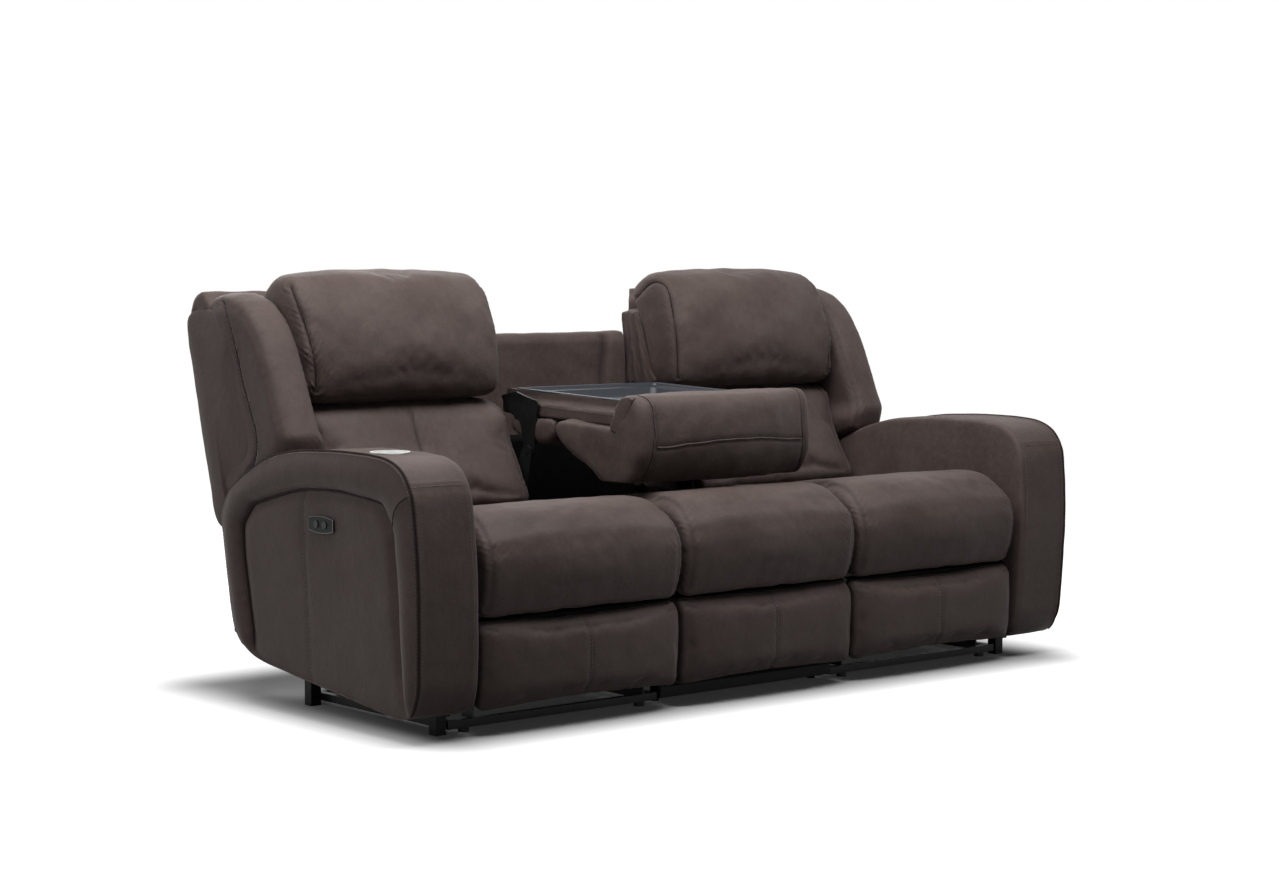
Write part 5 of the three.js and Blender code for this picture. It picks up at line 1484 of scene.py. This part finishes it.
def tray_profile():
    """How far in and how deep each ring of the tray is, and the radius of its corners."""
    rim = [(0.0, 0.016, 0.012), (0.0, 0.003, 0.012), (0.0006, 0.0012, 0.012), (0.0022, 0.0, 0.011),
           (0.0085, 0.0, TRAY_CORNER)]
    to_ledge = [(0.0100, 0.0006), (0.0112, 0.0022), (0.0125, 0.0070), (0.0135, 0.0084), (0.0150, 0.0090)]
    ledge = [(0.0330, 0.0092, 0.016), (0.0350, 0.0096, 0.017)]
    to_well = [(0.0362, 0.0110), (0.0395, 0.0270), (0.0415, 0.0292), (0.0440, TRAY_WELL_DEPTH)]
    profile = rim + [(inset, drop, TRAY_CORNER) for inset, drop in to_ledge]
    return profile + ledge + [(inset, drop, TRAY_WELL_CORNER) for inset, drop in to_well]


def make_tray():
    """The moulded tray: rolled rim, ledge and a deeper well, all with round corners."""
    low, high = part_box("console_tray")
    half, middle = high[X], 0.17
    front, rear = low[Y] + 0.0015, high[Y] - 0.0015
    top = high[Z] - 0.0006
    deep = top - low[Z] - 0.016
    under = top - deep - TRAY_FLOOR_THICK
    rings = [rounded_ring(half * 0.3, front + middle, rear - middle, 0.02, under),
             rounded_ring(half, front, rear, 0.012, under)]
    for inset, drop, radius in tray_profile():
        z = top - min(drop * deep / TRAY_WELL_DEPTH, deep)
        rings.append(rounded_ring(half - inset, front + inset, rear - inset, radius, z))
    rings.append(rounded_ring(half * 0.3, front + middle, rear - middle, 0.02, top - deep))
    faces = ring_faces(len(rings), len(rings[0]))
    piece = new_piece("console_tray_moulding", np.vstack(rings), faces, TRAY)
    points = points_of(piece)
    points[:, Z] -= CONSOLE_SLOPE * (high[Y] - points[:, Y])
    move_points(piece, points)
    piece.data.set_sharp_from_angle(angle=math.radians(50))
    fit_out(piece, "console", ["console_tray"])


def make_board_cover():
    """The upholstered board with its side rails, and the stitches along them."""
    low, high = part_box("console_frame")
    board = pad_over("console_frame", "console_board_cover", cell=0.007)
    points = points_of(board)
    under_top = high[Z] - CONSOLE_LIP - CONSOLE_SLOPE * (high[Y] - points[:, Y])
    lip = CONSOLE_STEP * smoothstep(points[:, Z] - under_top, -0.004, 0.003)
    reach = high[X] - lip - CONSOLE_STEP * 0.3
    points[:, X] = np.clip(points[:, X], -reach, reach)
    move_points(board, points)
    soften(board, 0.0006, seed=121)

    def rail(x, drop):
        return [(x, y, high[Z] - drop - CONSOLE_SLOPE * (high[Y] - y))
                for y in np.linspace(low[Y] + 0.004, high[Y] - 0.01, 9)]

    sewing = Sewing()
    for x in (low[X], high[X]):
        pull_in(board, rail(x * 0.96, CONSOLE_LIP + 0.002), width=0.005, depth=0.0030)
        sewing.stitch(board, rail(x, CONSOLE_LIP + 0.012))
    make_console_tabs(low, high)
    fit_out(finished(board), "console", ["console_frame"])
    sewing.make("console_stitching", "console")


def make_console_pad():
    """The middle seat's back cushion, which lies under the board while the console is down."""
    low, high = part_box("console_back_cushion")
    pad = pad_over("console_back_cushion", "console_pad", cell=0.0085)
    stuffed(pad, CONSOLE_PAD_SWELL)
    board_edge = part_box("console_frame")[1][X]
    for side in (-1, 1):
        widened(pad, side * 0.5 * board_edge, side * board_edge, side * CONSOLE_PAD_GIVE)
        squared(pad, side, reach=0.05, power=1.5)
    finer(pad)
    for x in (low[X] + END_SEAM_INSET, high[X] - END_SEAM_INSET):
        ring = side_line("console_back_cushion", (1.0, 0.9), (0.0, 0.6), x)[::-1]
        pull_in(pad, ring, width=0.006, depth=0.0035, gather=0.0012, pitch=0.018, reach=0.03)
    fit_out(finished(pad), "console", ["console_back_cushion"])


def make_console_roll():
    """The roll that is the middle seat's headrest, with its piped ends and front seam."""
    low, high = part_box("console_headrest")
    roll = pad_over("console_headrest", "console_roll", cell=PILLOW_CELL)
    stuffed(roll, ROLL_SWELL)
    pressed_flat(roll, X, low[X] - 0.006, -1)
    pressed_flat(roll, X, high[X] + 0.006, 1)
    pressed_flat(roll, Z, high[Z] - 0.003, 1, soft=0.02)
    for side, end in ((-1, low[X]), (1, high[X])):
        widened(roll, end * 0.55, end, side * ROLL_GIVE)
        squared(roll, side, reach=0.07, power=1.7)
    points = points_of(roll)
    points[:, Z] -= ROLL_SAG * smoothstep(-points[:, Z], -low[Z] - 0.12, -low[Z] - 0.01)
    points[:, Z] = np.maximum(points[:, Z], low[Z] - 0.007)
    move_points(roll, points)
    finer(roll)
    waist = low[Z] + 0.33 * (high[Z] - low[Z])
    front = [(x, low[Y] - 0.02, waist + 0.022 * (1 - (x / high[X]) ** 2))
             for x in np.linspace(low[X] + 0.020, high[X] - 0.020, 13)]
    soften(roll, 0.0018, seed=131)
    cord = Sewing()
    cord.pipe(sunk(roll, front, 0.0008), 0.0021, 8)
    pull_in(roll, front, width=0.007, depth=0.0032, gather=0.0003, pitch=0.025, reach=0.03)
    for x in (low[X] + END_SEAM_INSET, high[X] - END_SEAM_INSET):
        ring = side_line("console_headrest", (0.28, 1.0), (1.0, 0.55), x)
        cord.pipe(sunk(roll, ring, 0.0016), 0.0019, 8)
        pull_in(roll, ring, width=0.0065, depth=0.0036, gather=0.0005, pitch=0.020, reach=0.035)
    fit_out(finished(roll), "console", ["console_headrest"])
    cord.make("console_piping", "console", COVER)


def make_console():
    make_board_cover()
    make_tray()
    make_console_pad()
    make_console_roll()


# Painted shade sheets and small trim
SHADE_SHEET_THICK = 0.0025
SHADE_SHEET_RIPPLE = 0.002
SHADE_SHEET_MARGIN = 0.0015
LIP_MARGIN = 0.004
BEZEL_RADIUS = 0.0013


def hang_shade_sheet(name, line, low_x, high_x, body, rows=24, columns=40):
    """A stretched near-black strip along a line in the side view, as painted shade, at the size it is
    cut to.
    """
    line = evenly(through(line), rows)
    xs = np.linspace(low_x, high_x, columns)
    rings = []
    for y, z in line:
        face = [(x, y + SHADE_SHEET_RIPPLE * math.sin(x * 47), z) for x in xs]
        rear = [(x, y + SHADE_SHEET_THICK, z - 0.0005) for x, y, z in face]
        rings.append(face + rear[::-1])
    strip = new_piece(name, np.vstack(rings), ring_faces(rows, 2 * columns), SHADE_BLACK)
    fit_out(finished(strip), body)


def make_shade_sheets():
    """Painted shade: near-black lips behind the seats' front rolls, and a near-black sheet over the gap
    behind the console.
    """
    for side, body in (("left", "left_footrest"), ("middle", "base"), ("right", "right_footrest")):
        low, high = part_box(side + "_seat_cushion")
        hung = low[Y] + 0.060
        line = [(hung + 0.012, low[Z] - 0.001), (hung, low[Z] - 0.008), (hung, low[Z] - 0.030)]
        hang_shade_sheet(side + "_seat_lip_shade", line, low[X] + LIP_MARGIN, high[X] - LIP_MARGIN, body)
    _, rear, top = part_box("middle_seat_cushion")[1]
    low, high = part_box("rear_centre_panel")
    face = low[Y]
    line = [(rear - 0.020, top - 0.122), (rear + 0.030, top - 0.134), (rear + 0.110, top - 0.144),
            (face - 0.074, top - 0.142), (face - 0.019, top - 0.132), (face + 0.002, top - 0.090),
            (face + 0.018, top - 0.010), (face + 0.029, top + 0.090)]
    hang_shade_sheet("middle_gap_shade", line, low[X] + SHADE_SHEET_MARGIN, high[X] - SHADE_SHEET_MARGIN, "base")


def make_switch_bezels():
    """A thin satin bezel round each switch plate."""
    plate = node_points("left_switch_plate")
    rim = evenly(hull(plate[:, 1:]), 96, True)
    x = plate[:, X].min() + 0.0012
    bezel = Sewing()
    bezel.pipe(np.column_stack([np.full(len(rim), x), rim]), BEZEL_RADIUS, 8, True)
    left = new_piece("left_switch_bezel", bezel.points, bezel.faces, BEZEL)
    for piece in (left, mirrored(left, "right_switch_bezel")):
        fit_out(piece, "base")


def dress_hard_parts():
    """Gives every carried-over CAD node its finish, and the middle seat's frame a near-black painted
    shade.
    """
    finishes = {
        "frame_wood": BOARD,
        "black_steel": STEEL,
        "bright_steel": STAINLESS,
        "spring_wire": WIRE,
        "tray_plastic": TRAY,
        "black_plastic": SWITCH,
    }
    for node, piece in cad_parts.items():
        for place in piece.material_slots:
            name = place.material.name.split(".")[0] if place.material else ""
            # The middle seat's frame under the console is coloured near-black as painted shade.
            if node == "middle_seat_frame":
                place.material = SHADE_BLACK
            elif node.endswith("_button"):
                place.material = KEYS
            elif node.endswith("_links"):
                place.material = ZINC
            elif name in finishes:
                place.material = finishes[name]


bpy.context.scene.view_settings.view_transform = "Standard"
set_stage()
make_arms()
make_seats()
make_lower_panels()
make_back_covers()
make_wings()
make_lumbar_pillows()
make_head_pillows()
make_centre_back()
make_console()
make_shade_sheets()
make_switch_bezels()
dress_hard_parts()
